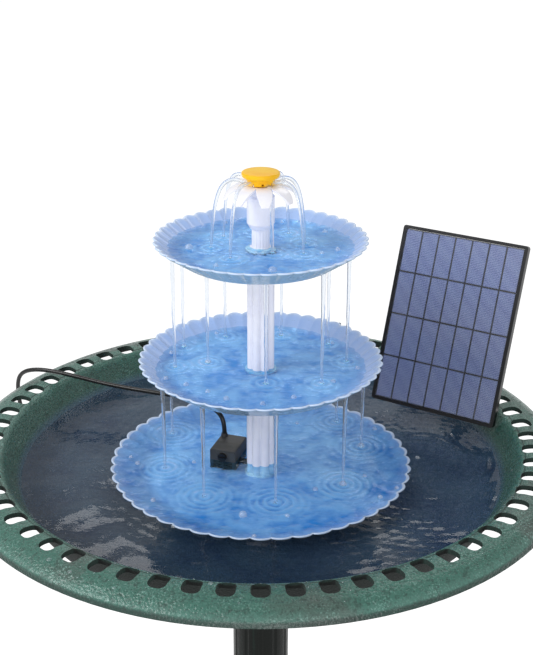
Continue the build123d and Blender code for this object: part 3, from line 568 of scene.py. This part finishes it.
def moulded(name, shade, roughness, grain_scale=900, depth=0.05, vary=0.1, dark=None,
            **settings):
    """Moulded plastic or rubber: faint clouding in the colour and a fine grain."""
    material, tree, shader = blank(name, roughness, **settings)
    where = place(tree)
    clouds = mottle(tree, where, 38, 0.35, 0.7)
    tint = laid(tree, clouds, vary * 2, tuple(shade), dark or darker(shade, 0.8))
    feed(tree, shader, base_color=tint,
         roughness=spread(tree, clouds, 0, 1, roughness * 0.9, min(1.0, roughness * 1.15)))
    bump(tree, shader, grain(tree, where, grain_scale), 0.3, depth * MM)
    return material


def tray_plastic():
    """Pale blue tray, with a painted highlight at the thin lip and painted shade outside where the
    wall faces down.
    """
    shades = colours()
    material, tree, shader = blank("tray_plastic", 0.25, coat_weight=0.3, coat_roughness=0.1)
    where = place(tree)
    clouds = mottle(tree, where, 60, 0.35, 0.7)
    shade = laid(tree, clouds, 0.18, shades.tray, darker(shades.tray, 0.82))
    # painted shade on the outside of the wall
    shade = blended(tree, attribute_value(tree, "outside"), shade, shades.tray_outside_shade)
    # painted highlight along the top of the lip
    shade = blended(tree, attribute_value(tree, "lip"), shade, shades.tray_lip_highlight)
    feed(tree, shader, base_color=shade, roughness=spread(tree, clouds, 0, 1, 0.2, 0.3))
    bump(tree, shader, grain(tree, where, 420, 0.7), 0.2, 0.15 * MM)
    return material


def water(name, crest_highlight, trough_shade, swing, shallow, sparkle, chops):
    """Clear water tinted by how high its surface stands, with painted highlights on the crests and
    painted shade in the hollows, painted glints on the highest crests, paler where it is shallow.
    """
    material, tree, shader = blank(name, 0.015, transmission_weight=1.0, ior=1.333)
    fine = noise(tree, place(tree, (1, 2.2, 1)), 170, 3, 0.5, 0.6)
    swell = maths(tree, "ADD", maths(tree, "DIVIDE", attribute_value(tree, "swell"), swing),
                  times(tree, maths(tree, "SUBTRACT", fine, 0.5), 1.2))
    # the water's blue tint, with painted highlight on the crests and painted shade in the hollows
    shade = blended(tree, spread(tree, swell, -0.9, 1.0), tuple(trough_shade), tuple(crest_highlight))
    # painted highlight: the highest crests turn nearly white
    glint = spread(tree, swell, 0.9, 1.7, 0.0, sparkle)
    shade = blended(tree, glint, shade, paint(226, 240, 254))
    shade = blended(tree, attribute_value(tree, "shallow"), shade, tuple(shallow))
    # scaled by the stored light: painted shade and painted reflection in the bowl, 1 in the trays
    lit = add(tree, "ShaderNodeVectorMath", operation="SCALE")
    tree.links.new(shade, lit.inputs[0])
    tree.links.new(attribute_value(tree, "light"), lit.inputs["Scale"])
    feed(tree, shader, base_color=lit.outputs[0])
    bump(tree, shader, fine, chops, 0.8 * MM)
    return material


def bubble_film():
    """Bubbles and drops that stand proud of the water and catch the light."""
    material, tree, shader = blank("bubble_film", 0.02, transmission_weight=0.72, ior=1.5)
    fine = noise(tree, place(tree), 700, 2)
    feed(tree, shader,
         base_color=blended(tree, fine, paint(206, 222, 238), paint(250, 252, 255)))
    return material


def clear_drop():
    """Clear running water and drops, with a faint bright skin."""
    material, tree, shader = blank("clear_drop", 0.02, transmission_weight=0.9, ior=1.333)
    fine = noise(tree, place(tree, (1, 1, 0.25)), 420, 2)
    feed(tree, shader,
         base_color=blended(tree, fine, paint(226, 234, 242), paint(250, 252, 255)))
    bump(tree, shader, fine, 0.25, 0.4 * MM)
    return material


def solar_cells():
    """Blue-violet cells with fine printed lines and a woven sheen."""
    material, tree, shader = blank("solar_cells", 0.3, coat_weight=0.6, coat_roughness=0.12)
    where = add(tree, "ShaderNodeTexCoord").outputs["Object"]
    flat = add(tree, "ShaderNodeCombineXYZ")
    for number, axis in enumerate(panel_axes()):
        dot = add(tree, "ShaderNodeVectorMath", operation="DOT_PRODUCT")
        tree.links.new(where, dot.inputs[0])
        dot.inputs[1].default_value = axis
        reach = dot.outputs["Value"]
        tree.links.new(reach, flat.inputs[number])
    lines = maths(tree, "PINGPONG", reach, 0.75 * MM)
    line = spread(tree, lines, 0.13 * MM, 0.04 * MM)
    band = add(tree, "ShaderNodeTexWave", bands_direction="DIAGONAL")
    tree.links.new(flat.outputs[0], band.inputs["Vector"])
    for key, value in (("scale", 38), ("distortion", 3), ("detail", 2), ("detail_scale", 1)):
        band.inputs[titled(key)].default_value = value
    shade = laid(tree, band.outputs["Fac"], 0.35, colours().cell, paint(64, 72, 128))
    shade = laid(tree, line, 0.8, shade, paint(158, 172, 220))
    flakes = mottle(tree, flat.outputs[0], 900, 0.4, 0.7)
    shade = laid(tree, flakes, 0.2, shade, paint(120, 130, 182))
    feed(tree, shader, base_color=shade, roughness=spread(tree, flakes, 0, 1, 0.25, 0.4))
    bump(tree, shader, line, 0.2, 0.02 * MM)
    return material


def clear_sheet():
    """Clear front sheet: mostly see-through, with a glossy face."""
    material, tree, shader = blank("clear_sheet", 0.1, base_color=(*paint(210, 216, 236), 1))
    smear = mottle(tree, place(tree), 30, 0.3, 0.8)
    feed(tree, shader, alpha=spread(tree, smear, 0, 1, 0.03, 0.06))
    return material


def metal(name, shade, roughness, scale=(1, 1, 1)):
    """Metal with fine drawn marks."""
    material, tree, shader = blank(name, roughness, metallic=1.0)
    marks = noise(tree, place(tree, scale), 700, 3)
    feed(tree, shader, base_color=blended(tree, marks, darker(shade, 0.7), shade),
         roughness=spread(tree, marks, 0.3, 0.7, roughness * 0.8, roughness * 1.3))
    bump(tree, shader, marks, 0.2, 0.05 * MM)
    return material


def panel_axes():
    """Unit vectors across and up the solar panel."""
    across = Vector((math.cos(PANEL_TURN), -math.sin(PANEL_TURN), 0))
    behind = Vector((math.sin(PANEL_TURN), math.cos(PANEL_TURN), 0))
    return across, behind * math.sin(PANEL_LEAN) + Vector((0, 0, math.cos(PANEL_LEAN)))


# ---- making the pieces ----
def make_stage():
    """Pale floor, white room, three soft lights and the camera."""
    scene = bpy.context.scene
    studio = scene.bird_bath_studio
    scene.view_settings.view_transform = "Standard"
    bpy.ops.mesh.primitive_plane_add(size=FLOOR, location=(0, 0, 0))
    floor = named("floor")
    white, _, _ = blank("floor_white", 0.9, specular_ior_level=0.1, emission_strength=0.8,
                        base_color=(0.4, 0.4, 0.4, 1), emission_color=(1, 1, 1, 1))
    floor.data.materials.append(white)
    world = bpy.data.worlds.new("room")
    scene.world = world
    world.use_nodes = True
    background = world.node_tree.nodes["Background"]
    background.inputs["Color"].default_value = (1, 1, 1, 1)
    background.inputs["Strength"].default_value = studio.sky
    for name, spot, power, width, depth in (
            ("key_light", (-1.2, -0.5, 1.9), studio.key_light, 1.0, 0.7),
            ("front_light", (0.1, -1.7, 1.0), studio.front_light, 1.2, 0.5),
            ("back_light", (0.25, 1.35, 1.95), studio.back_light, 1.5, 0.35)):
        bpy.ops.object.light_add(type="AREA", location=spot)
        lamp = bpy.context.object
        lamp.name = name
        lamp.data.shape = "RECTANGLE"
        lamp.data.size, lamp.data.size_y = width, depth
        lamp.data.energy = power
        aim = LIT_SPOT - lamp.location
        lamp.rotation_euler = aim.to_track_quat("-Z", "Y").to_euler()
    bpy.ops.object.camera_add(location=(0, -studio.back, studio.height),
                              rotation=(math.pi / 2 - studio.tilt, 0, 0))
    camera = bpy.context.object
    camera.name = "camera"
    camera.data.lens = studio.lens
    camera.data.shift_x = studio.aside
    camera.data.clip_start = 20 * MM
    scene.camera = camera


def new_curve(name, **settings):
    """A curve object with nothing in it."""
    curve = bpy.data.curves.new(name, "CURVE")
    curve.dimensions = "3D"
    curve.use_fill_caps = True
    for key, value in settings.items():
        setattr(curve, key, value)
    piece = bpy.data.objects.new(name, curve)
    bpy.context.scene.collection.objects.link(piece)
    return piece


def add_strand(piece, points, radii=None):
    """Adds one open NURBS spline to a curve."""
    spline = piece.data.splines.new("NURBS")
    spline.points.add(len(points) - 1)
    for number, spot in enumerate(points):
        spline.points[number].co = (*spot, 1)
        if radii:
            spline.points[number].radius = radii[number]
    spline.order_u = 3
    spline.use_endpoint_u = True


def route_curve(name, points):
    """A curve with no thickness along a cord's route."""
    piece = new_curve(name, resolution_u=8)
    add_strand(piece, points)
    return piece


def centreline(piece):
    """Points along a curve that has no thickness yet."""
    line = bpy.data.meshes.new_from_object(piece)
    points = [vertex.co.copy() for vertex in line.vertices]
    bpy.data.meshes.remove(line)
    return points


def coil_points():
    """The spare cord laid down in flat turns behind the foot, one layer on the other."""
    wide = 1 / math.cos(math.pi / COIL_STEPS)
    points = []
    for step in range(1, int(COIL_TURNS * COIL_STEPS)):
        turn = step / COIL_STEPS
        # the cord moves in, up and out again, each within a fifth of a turn
        inner, rise, outer = (1 - math.cos(math.pi * kept_in((turn - start) / 0.2))
                              for start in (0.9, 1.9, 2.4))
        radius = wide * (COIL_OUTER - (COIL_OUTER - COIL_INNER) * (inner - outer) / 2)
        level = COIL_LOW + (COIL_HIGH - COIL_LOW) * rise / 2
        angle = math.pi - turn * math.tau
        points.append(COIL_CENTRE + Vector((radius * math.cos(angle), radius * math.sin(angle),
                                            level)))
    return points


def make_cords():
    """The pump's cord with its coil, and the short lead up to the panel."""
    rubber = moulded("cord_rubber", paint(14, 14, 15), 0.3, 700, 0.08, 0.2)
    cable = route_curve("pump_cable", [*PUMP_ROUTE, *coil_points(), *PANEL_ROUTE])
    lead = route_curve("panel_lead_cable", LEAD_ROUTE)
    path = centreline(lead)
    for cord in (cable, lead):
        cord.data.bevel_depth = CORD_R
        cord.data.bevel_resolution = 4
        cord.data.materials.append(rubber)
    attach(cable, "stand")
    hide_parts("pump_cord", "cord_coil", "panel_cord")

    only(lead)
    bpy.ops.object.convert(target="MESH")
    lead = bpy.context.object
    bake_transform(lead)
    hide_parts("panel_lead")


def tray_outline(box, hole, run):
    """Half of a tray's section along the middle of the plastic: floor, fillet and sloping wall."""
    low, high = box
    lip = Vector((high.x - 1.2 * MM, 0, high.z - 0.8 * MM))
    corner = Vector((high.x - run, 0, low.z + 1 * MM))
    rise = (lip - corner).normalized()
    inward = Vector((-1, 0, 0))
    opening = inward.angle(rise)
    reach = TRAY_FILLET / math.tan(opening / 2)
    centre = corner + (rise + inward).normalized() * (TRAY_FILLET / math.sin(opening / 2))
    line = [Vector((hole, 0, corner.z)), Vector(((hole + corner.x - reach) / 2, 0, corner.z))]
    for step in range(7):
        angle = (math.pi - opening) * step / 6
        line.append(centre + TRAY_FILLET * Vector((math.sin(angle), 0, -math.cos(angle))))
    foot = line[-1]
    line += [foot.lerp(lip, step / 10) for step in range(1, 11)]
    return line


def along(outline, value, known, wanted):
    """Reads an outline's coordinate at the first place where another one reaches a value."""
    for here, there in zip(outline, outline[1:]):
        if here[known] <= value <= there[known] and there[known] > here[known]:
            share = (value - here[known]) / (there[known] - here[known])
            return here[wanted] + share * (there[wanted] - here[wanted])
    return outline[-1][wanted]


def notch_at(angle, height, box, count):
    """How far a notch between scallops pulls the wall in and down, at an angle and a height."""
    low, high = box
    foot = low.z + 4 * MM
    share = kept_in((height - foot) / (high.z - foot))
    notch = 1 - abs(math.cos(count * angle / 2)) ** 0.8
    return sizes().notch * share ** 0.9 * notch, sizes().droop * share ** 2 * notch


def make_trays():
    """Three scalloped trays, each spun from its section and ruffled."""
    plastic = tray_plastic()
    for name, box, count, hole, run, _ in TRAYS:
        outline = tray_outline(box, hole, run)
        tray = spun(name + "_scalloped_tray", outline, count * sizes().scallop_steps)
        for vertex in tray.data.vertices:
            radius, angle = bearing(vertex.co)
            pull, drop = notch_at(angle, vertex.co.z, box, count)
            vertex.co.xy *= 1 - pull / radius
            vertex.co.z -= drop
        face_up(tray)
        thick = tray.modifiers.new("Thickness", "SOLIDIFY")
        thick.thickness = WALL
        thick.offset = 0
        thick.use_even_offset = True
        edge = tray.modifiers.new("Rounded lip", "BEVEL")
        edge.width = 0.75 * MM
        edge.segments = 3
        edge.limit_method = "ANGLE"
        edge.angle_limit = math.radians(60)
        apply_all(tray)
        only(tray)
        bpy.ops.object.shade_smooth_by_angle(angle=math.radians(50))
        # painted highlight along the top of the lip
        lip = []
        for vertex in tray.data.vertices:
            _, drop = notch_at(bearing(vertex.co)[1], vertex.co.z, box, count)
            lip.append(kept_in((vertex.co.z + drop - box[1].z + 1.8 * MM) / MM))
        store(tray, "lip", lip)
        # painted shade: darker the more the wall faces down
        store(tray, "outside", (kept_in(-3 * vertex.normal.z) for vertex in tray.data.vertices))
        tray.data.materials.append(plastic)
        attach(tray, BODY_OF_TRAY[name])
        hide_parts(name + "_tray")


def ring_waves(piece, centres, reach, height, spacing):
    """Ring waves spreading from each point where water lands."""
    for x, y in centres:
        wave = piece.modifiers.new("Ring", "WAVE")
        wave.use_x = wave.use_y = wave.use_cyclic = True
        wave.start_position_x, wave.start_position_y = x, y
        wave.height = height
        wave.width = spacing / 2
        wave.narrowness = 2 / wave.width
        wave.speed = wave.falloff_radius = reach


def chop(piece, size, strength):
    """Loose, uneven swell over the whole surface."""
    texture = bpy.data.textures.new(piece.name + "_chop", "CLOUDS")
    texture.noise_scale = size
    texture.noise_depth = 2
    lift = piece.modifiers.new("Chop", "DISPLACE")
    lift.texture = texture
    lift.texture_coords = "LOCAL"
    lift.direction = "Z"
    lift.strength = strength
    lift.mid_level = 0.5


def standing_water(name, start, end, level, steps, cuts, tray, give, waves, chops):
    """Water between two radii, drawn in at a tray's notches and ruffled."""
    sheet = spun(name, [(start, 0, level), (end, 0, level)], steps, cuts)
    for vertex in sheet.data.vertices:
        radius, angle = bearing(vertex.co)
        pull, _ = notch_at(angle, level, *tray)
        vertex.co.xy *= 1 - pull * give(radius)
    face_up(sheet)
    ring_waves(sheet, *waves)
    for size, strength in chops:
        chop(sheet, size, strength)
    apply_all(sheet)
    store(sheet, "swell", (vertex.co.z - level for vertex in sheet.data.vertices))
    return sheet


def fill_trays():
    """The water in the trays, with ring waves where the streams and the jets land."""
    shades = colours()
    tray_water = water("tray_water", shades.water_crest_highlight, shades.water_trough_shade, 0.7 * MM,
                       paint(176, 214, 236), 0.6, 0.35)
    jet_landings = [(reach * math.cos(math.radians(turn)), reach * math.sin(math.radians(turn)))
                    for turn, reach in JETS]
    # where water lands, how far its rings reach, and faces along and round
    sheets = {"lower": (LOWER_LANDINGS, 34 * MM, 61, 480),
              "middle": (MIDDLE_LANDINGS, 20 * MM, 45, 360),
              "upper": (jet_landings, 20 * MM, 37, 336)}
    for name, box, count, hole, run, _ in TRAYS:
        level = WATER_LEVEL[name]
        edge = along(tray_outline(box, hole, run), level, 2, 0)
        landings, reach, cuts, steps = sheets[name]
        sheet = standing_water(
            name + "_water", 9 * MM, edge, level, steps, (cuts, 1), (box, count),
            lambda radius: (radius / edge) ** 6 / edge,
            (landings, reach, sizes().ring_height, sizes().ring_spacing),
            ((0.026, 1.2 * MM), (0.009, 1.1 * MM)))
        shallow = []
        for vertex in sheet.data.vertices:
            radius, angle = bearing(vertex.co)
            pull, _ = notch_at(angle, level, box, count)
            shallow.append(0.75 * max(0, 1 - (edge - pull - radius) / (11 * MM)) ** 1.5)
        store(sheet, "shallow", shallow)
        store(sheet, "light", [1] * len(shallow))
        wet(sheet, tray_water, BODY_OF_TRAY[name])


def fill_bowl():
    """The water in the bowl, round the lower tray."""
    shades = colours()
    pool_water = water("pool_water", shades.pool_crest_highlight, shades.pool_trough_shade, 1.6 * MM,
                       paint(120, 136, 140), 0.1, 0.12)
    _, box, count, hole, run, _ = TRAYS[0]
    inner = along(tray_outline(box, hole, run), BASIN_WATER_Z, 2, 0)
    pool = standing_water(
        "bowl_water", inner, BASIN_WATER_R, BASIN_WATER_Z, 480, (41, 1), (box, count),
        lambda radius: max(0, 1 - (radius - inner) / (6 * MM)) / radius,
        (((0.135, 0.004), (0.02, 0.01)), 0.22, 0.3 * MM, 9 * MM),
        ((0.04, 2.2 * MM), (0.014, 0.25 * MM)))
    shallow, light = [], []
    for vertex in pool.data.vertices:
        radius, angle = bearing(vertex.co)
        shallow.append(0.6 * max(0, 1 - (BASIN_WATER_R - radius) / (5 * MM)))
        # painted shade and reflection: darker at the front, where the lower tray is reflected and
        # shades the water, brighter on the right as a painted reflection
        front = min(1, 1.1 * (1 + math.sin(angle)))
        right = max(0, math.cos(angle)) ** 0.5
        light.append(0.4 + 0.6 * front + 1.1 * right * front)
    store(pool, "shallow", shallow)
    store(pool, "light", light)
    wet(pool, pool_water, "stand")


def running_water(name, strands, material):
    """Strands of falling water as one mesh; a strand is its points and its radii."""
    piece = new_curve(name, bevel_depth=1, bevel_resolution=3, resolution_u=6)
    for points, radii in strands:
        add_strand(piece, points, radii)
    only(piece)
    bpy.ops.object.convert(target="MESH")
    piece = bpy.context.object
    wet(piece, material)
    return piece


def fall(x, y, top, bottom, chance):
    """One stream falling straight down, thinner and less steady as it falls."""
    points, radii = [], []
    beat = chance.uniform(0, 6)
    steps = 22
    for step in range(steps + 1):
        share = step / steps
        drift = 0.3 * MM * share
        points.append((x + chance.uniform(-drift, drift), y + chance.uniform(-drift, drift),
                       top + (bottom - top) * share))
        tremor = 1 + 0.16 * share * math.sin(beat + 34 * share)
        radii.append(sizes().stream * (1.15 - 0.6 * share ** 0.6) * tremor)
    radii[-1] *= 1.8
    return points, radii


def jet(turn, reach, level):
    """One jet from under the flower's middle, arching over and down to the top tray."""
    # millimetres out from the axis and up from the brim, ending in the water
    arc = (((9.5, 232.6), (15, 232), (17.2, 223), (18.4, 206), (19.3, 190), (20, 0))
           if reach < 30 * MM else
           ((10, 232.6), (17, 235.2), (25, 235.6), (31.5, 230.5), (35.5, 219.5), (38, 205),
            (39.3, 190), (40, 0)))
    angle = math.radians(turn)
    points = []
    for out, up in arc:
        across = out * reach / arc[-1][0]
        points.append((across * math.cos(angle), across * math.sin(angle),
                       BRIM_Z + up * MM if up else level - 0.4 * MM))
    return points, [sizes().jet * (1.1 - 0.07 * number) for number in range(len(arc))]


def domes(name, spots, material, body, faces=16):
    """Drops sitting on a surface, as one piece; a spot is (x, y, z, radius, height share)."""
    bpy.ops.mesh.primitive_uv_sphere_add(segments=faces, ring_count=faces // 2, radius=1)
    model = named(name)
    edit(model)
    bpy.ops.mesh.bisect(plane_co=(0, 0, -0.12), plane_no=(0, 0, 1), clear_inner=True)
    leave_edit()
    bpy.ops.object.select_all(action="DESELECT")
    for x, y, z, radius, tall in spots:
        drop = model.copy()
        drop.data = model.data.copy()
        bpy.context.scene.collection.objects.link(drop)
        drop.location = (x, y, z)
        drop.scale = (radius, radius, radius * tall)
        drop.select_set(True)
    bpy.data.objects.remove(model)
    bpy.context.view_layer.objects.active = drop
    bpy.ops.object.join()
    bpy.ops.object.transform_apply(location=True, rotation=True, scale=True)
    wet(named(name), material, body)


def make_streams():
    """Falling streams between the trays and the jets round the flower."""
    clear = clear_drop()
    chance = random.Random(7)
    lines = {name: tray_outline(box, hole, run) for name, box, _, hole, run, _ in TRAYS}
    for above, under, places in (("upper", "middle", MIDDLE_LANDINGS),
                                 ("middle", "lower", LOWER_LANDINGS)):
        low = WATER_LEVEL[under]
        strands = []
        for x, y in places:
            top = along(lines[above], math.hypot(x, y), 0, 2) - WALL / 2
            strands.append(fall(x, y, top, low - 0.5 * MM, chance))
        piece = running_water(above + "_streams", strands, clear)
        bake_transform(piece)
    level = WATER_LEVEL["upper"]
    piece = running_water("nozzle_jets", [jet(turn, reach, level) for turn, reach in JETS], clear)
    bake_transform(piece)


def make_drops():
    """Bubbles and splashes on the water, and drops on the brim."""
    clear = bpy.data.materials["clear_drop"]
    film = bubble_film()
    bead = sizes().bead
    # millimetres across and along, and a share of a large drop's radius
    bubbles = {
        "lower": (
            (-14, -90.5, 1.5), (-87, -68, 1), (-105, -6, 1), (-112, 5, 0.8), (-68, -108, 0.8),
            (-5, -122, 0.8), (45, -50, 1), (102.5, 58, 1), (87, -28, 0.9), (97, -63, 1),
            (112, -48, 0.9), (21, -92, 0.9), (-57, -4, 0.8), (33, 69, 0.9), (68, -42, 1.4),
            (88, 25, 1.4)),
        "middle": (
            (80, -6, 1), (58.5, -32, 1), (-77, -26, 1), (-60, -38, 1), (-42, -51, 1),
            (-27, -64, 1.1), (26, -61, 1), (1.5, -73, 1), (-39, 68, 0.9), (62, 46, 0.9),
            (16.5, 80, 0.8), (-76, 26, 0.9), (-44, 6, 1.2)),
        "upper": (
            (-57, -6.5, 1.5), (53, 34, 1), (61, -11, 1), (48, -19, 0.9), (9, -59, 1.5),
            (-34, -49, 1), (-30, 59, 0.9), (18, 61, 0.8)),
    }
    for name, spots in bubbles.items():
        domes(name + "_bubbles",
              [(x * MM, y * MM, WATER_LEVEL[name], bead * size, 1) for x, y, size in spots],
              film, BODY_OF_TRAY[name])
    domes("bowl_bubble", [(0.135, 0.004, BASIN_WATER_Z, bead, 0.8)], film, "stand")

    chance = random.Random(11)
    specks = {"lower": 40, "middle": 130, "upper": 60}
    for name, box, *_ in TRAYS:
        tray = bpy.data.objects[name + "_scalloped_tray"]
        spots = []
        for _ in range(specks[name]):
            angle = chance.uniform(0, math.tau)
            out = box[1].x - chance.uniform(1.5, 9 if name == "lower" else 15) * MM
            x, y = out * math.cos(angle), out * math.sin(angle)
            found, spot, *_ = tray.ray_cast(Vector((x, y, box[1].z + 20 * MM)), DOWN)
            if found and spot.z > WATER_LEVEL[name] + 0.5 * MM:
                spots.append((*spot, chance.uniform(0.35, 0.8) * MM, 0.8))
        domes(name + "_wall_drops", spots, clear, BODY_OF_TRAY[name], faces=8)

    brim = [(-0.151, -0.188, 2.2), (-0.134, -0.203, 1.7), (-0.121, -0.197, 1.9),
            (-0.091, -0.213, 2.0), (-0.101, -0.222, 1.6), (-0.0345, -0.220, 2.0)]
    for _ in range(150):
        angle = math.radians(chance.triangular(-178, -2, -112))
        out = chance.triangular(0.205, 0.249, 0.208)
        brim.append((out * math.cos(angle), out * math.sin(angle), chance.uniform(0.35, 0.9)))
    spots = []
    for x, y, size in brim:
        found, spot, normal, _ = NODES["basin"].ray_cast(Vector((x, y, BRIM_Z + 50 * MM)), DOWN)
        if found and normal.z > 0.5 and spot.z > BASIN_WATER_Z:
            spots.append((*spot, size * MM, 0.55))
    domes("brim_drops", spots, clear, "stand", faces=12)


def make_finishes():
    """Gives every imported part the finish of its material."""
    shades = colours()
    finishes = {
        "patina": verdigris(),
        "pedestal_patina": pedestal_green(),
        "coupler": moulded("coupler_plastic", paint(96, 98, 100), 0.5),
        "tray_blue": bpy.data.materials["tray_plastic"],
        "white_plastic": moulded("white_plastic", shades.white, 0.24, 500, 0.04, 0.15,
                                 paint(206, 206, 226), coat_weight=0.25),
        "yellow_plastic": moulded("yellow_plastic", shades.yellow, 0.35, 420, 0.08, 0.4,
                                  paint(240, 176, 10), specular_ior_level=0.3),
        "pump_black": moulded("pump_plastic", shades.pump, 0.55, 1500, 0.5, 0.3,
                              paint(34, 34, 33)),
        "black_plastic": moulded("black_plastic", paint(20, 20, 23), 0.34, 900, 0.06, 0.2,
                                 specular_ior_level=0.35),
        "steel": metal("zinc_steel", paint(196, 198, 202), 0.3),
        "core_steel": metal("core_steel", paint(140, 142, 146), 0.4, (1, 12, 1)),
        "copper": metal("winding_copper", paint(200, 120, 66), 0.3, (1, 1, 9)),
        "ferrite": metal("ferrite", paint(74, 74, 78), 0.45),
        "shaft_ceramic": moulded("ceramic", paint(238, 238, 232), 0.2, 900, 0.02, 0.05),
        "soft_rubber": moulded("soft_rubber", paint(44, 44, 46), 0.62, 800, 0.1, 0.2),
        "seal_rubber": moulded("seal_rubber", paint(56, 57, 60), 0.6, 800, 0.1, 0.2),
        "foam": moulded("foam", paint(52, 54, 56), 0.95, 1100, 1.2, 0.6, paint(14, 14, 16)),
        "solar_cell": solar_cells(),
        "clear_cover": clear_sheet(),
        "board": moulded("circuit_board", paint(20, 92, 52), 0.35, 600, 0.06, 0.2),
        "cord_black": bpy.data.materials["cord_rubber"],
    }
    for node in NODES.values():
        for holder in node.material_slots:
            holder.material = finishes[holder.material.name]


# ---- operators and panel ----
class BIRDBATH_OT_stage(bpy.types.Operator):
    """Makes the floor, the room, the light and the camera."""
    bl_idname = "birdbath.stage"
    bl_label = "Stage"

    def execute(self, context):
        make_stage()
        return {"FINISHED"}


class BIRDBATH_OT_groups(bpy.types.Operator):
    """Makes the shader groups that the finishes share."""
    bl_idname = "birdbath.groups"
    bl_label = "Shader Groups"

    def execute(self, context):
        mottle_group()
        grain_group()
        return {"FINISHED"}


class BIRDBATH_OT_cords(bpy.types.Operator):
    """Lays the pump's cord and the panel's lead."""
    bl_idname = "birdbath.cords"
    bl_label = "Cords"

    def execute(self, context):
        make_cords()
        return {"FINISHED"}


class BIRDBATH_OT_trays(bpy.types.Operator):
    """Makes the three scalloped trays."""
    bl_idname = "birdbath.trays"
    bl_label = "Trays"

    def execute(self, context):
        make_trays()
        return {"FINISHED"}


class BIRDBATH_OT_water(bpy.types.Operator):
    """Fills the bowl and the trays."""
    bl_idname = "birdbath.water"
    bl_label = "Water"

    def execute(self, context):
        fill_trays()
        fill_bowl()
        return {"FINISHED"}


class BIRDBATH_OT_streams(bpy.types.Operator):
    """Makes the falling streams and the jets."""
    bl_idname = "birdbath.streams"
    bl_label = "Streams"

    def execute(self, context):
        make_streams()
        return {"FINISHED"}


class BIRDBATH_OT_drops(bpy.types.Operator):
    """Puts bubbles on the water and drops on the brim."""
    bl_idname = "birdbath.drops"
    bl_label = "Drops"

    def execute(self, context):
        make_drops()
        return {"FINISHED"}


class BIRDBATH_OT_finishes(bpy.types.Operator):
    """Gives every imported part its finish."""
    bl_idname = "birdbath.finishes"
    bl_label = "Finishes"

    def execute(self, context):
        make_finishes()
        return {"FINISHED"}


STEPS = (BIRDBATH_OT_stage, BIRDBATH_OT_groups, BIRDBATH_OT_cords, BIRDBATH_OT_trays,
         BIRDBATH_OT_water, BIRDBATH_OT_streams, BIRDBATH_OT_drops, BIRDBATH_OT_finishes)


class BIRDBATH_PT_panel(bpy.types.Panel):
    """Lists the steps that build the bird bath."""
    bl_label = "Bird Bath"
    bl_idname = "BIRDBATH_PT_panel"
    bl_space_type = "VIEW_3D"
    bl_region_type = "UI"
    bl_category = "Bird Bath"

    def draw(self, context):
        for step in STEPS:
            self.layout.operator(step.bl_idname)
        for name, group in GROUPS.items():
            box = self.layout.box()
            for key in group.__annotations__:
                box.prop(getattr(context.scene, name), key)


CLASSES = (*GROUPS.values(), *STEPS, BIRDBATH_PT_panel)


def register():
    for each in CLASSES:
        bpy.utils.register_class(each)
    for name, group in GROUPS.items():
        setattr(bpy.types.Scene, name, PointerProperty(type=group))


def unregister():
    for name in GROUPS:
        delattr(bpy.types.Scene, name)
    for each in reversed(CLASSES):
        bpy.utils.unregister_class(each)


def main():
    register()
    bpy.ops.birdbath.stage()
    bpy.ops.birdbath.groups()
    bpy.ops.birdbath.cords()
    bpy.ops.birdbath.trays()
    bpy.ops.birdbath.water()
    bpy.ops.birdbath.streams()
    bpy.ops.birdbath.drops()
    bpy.ops.birdbath.finishes()


if __name__ == "__main__":
    main()
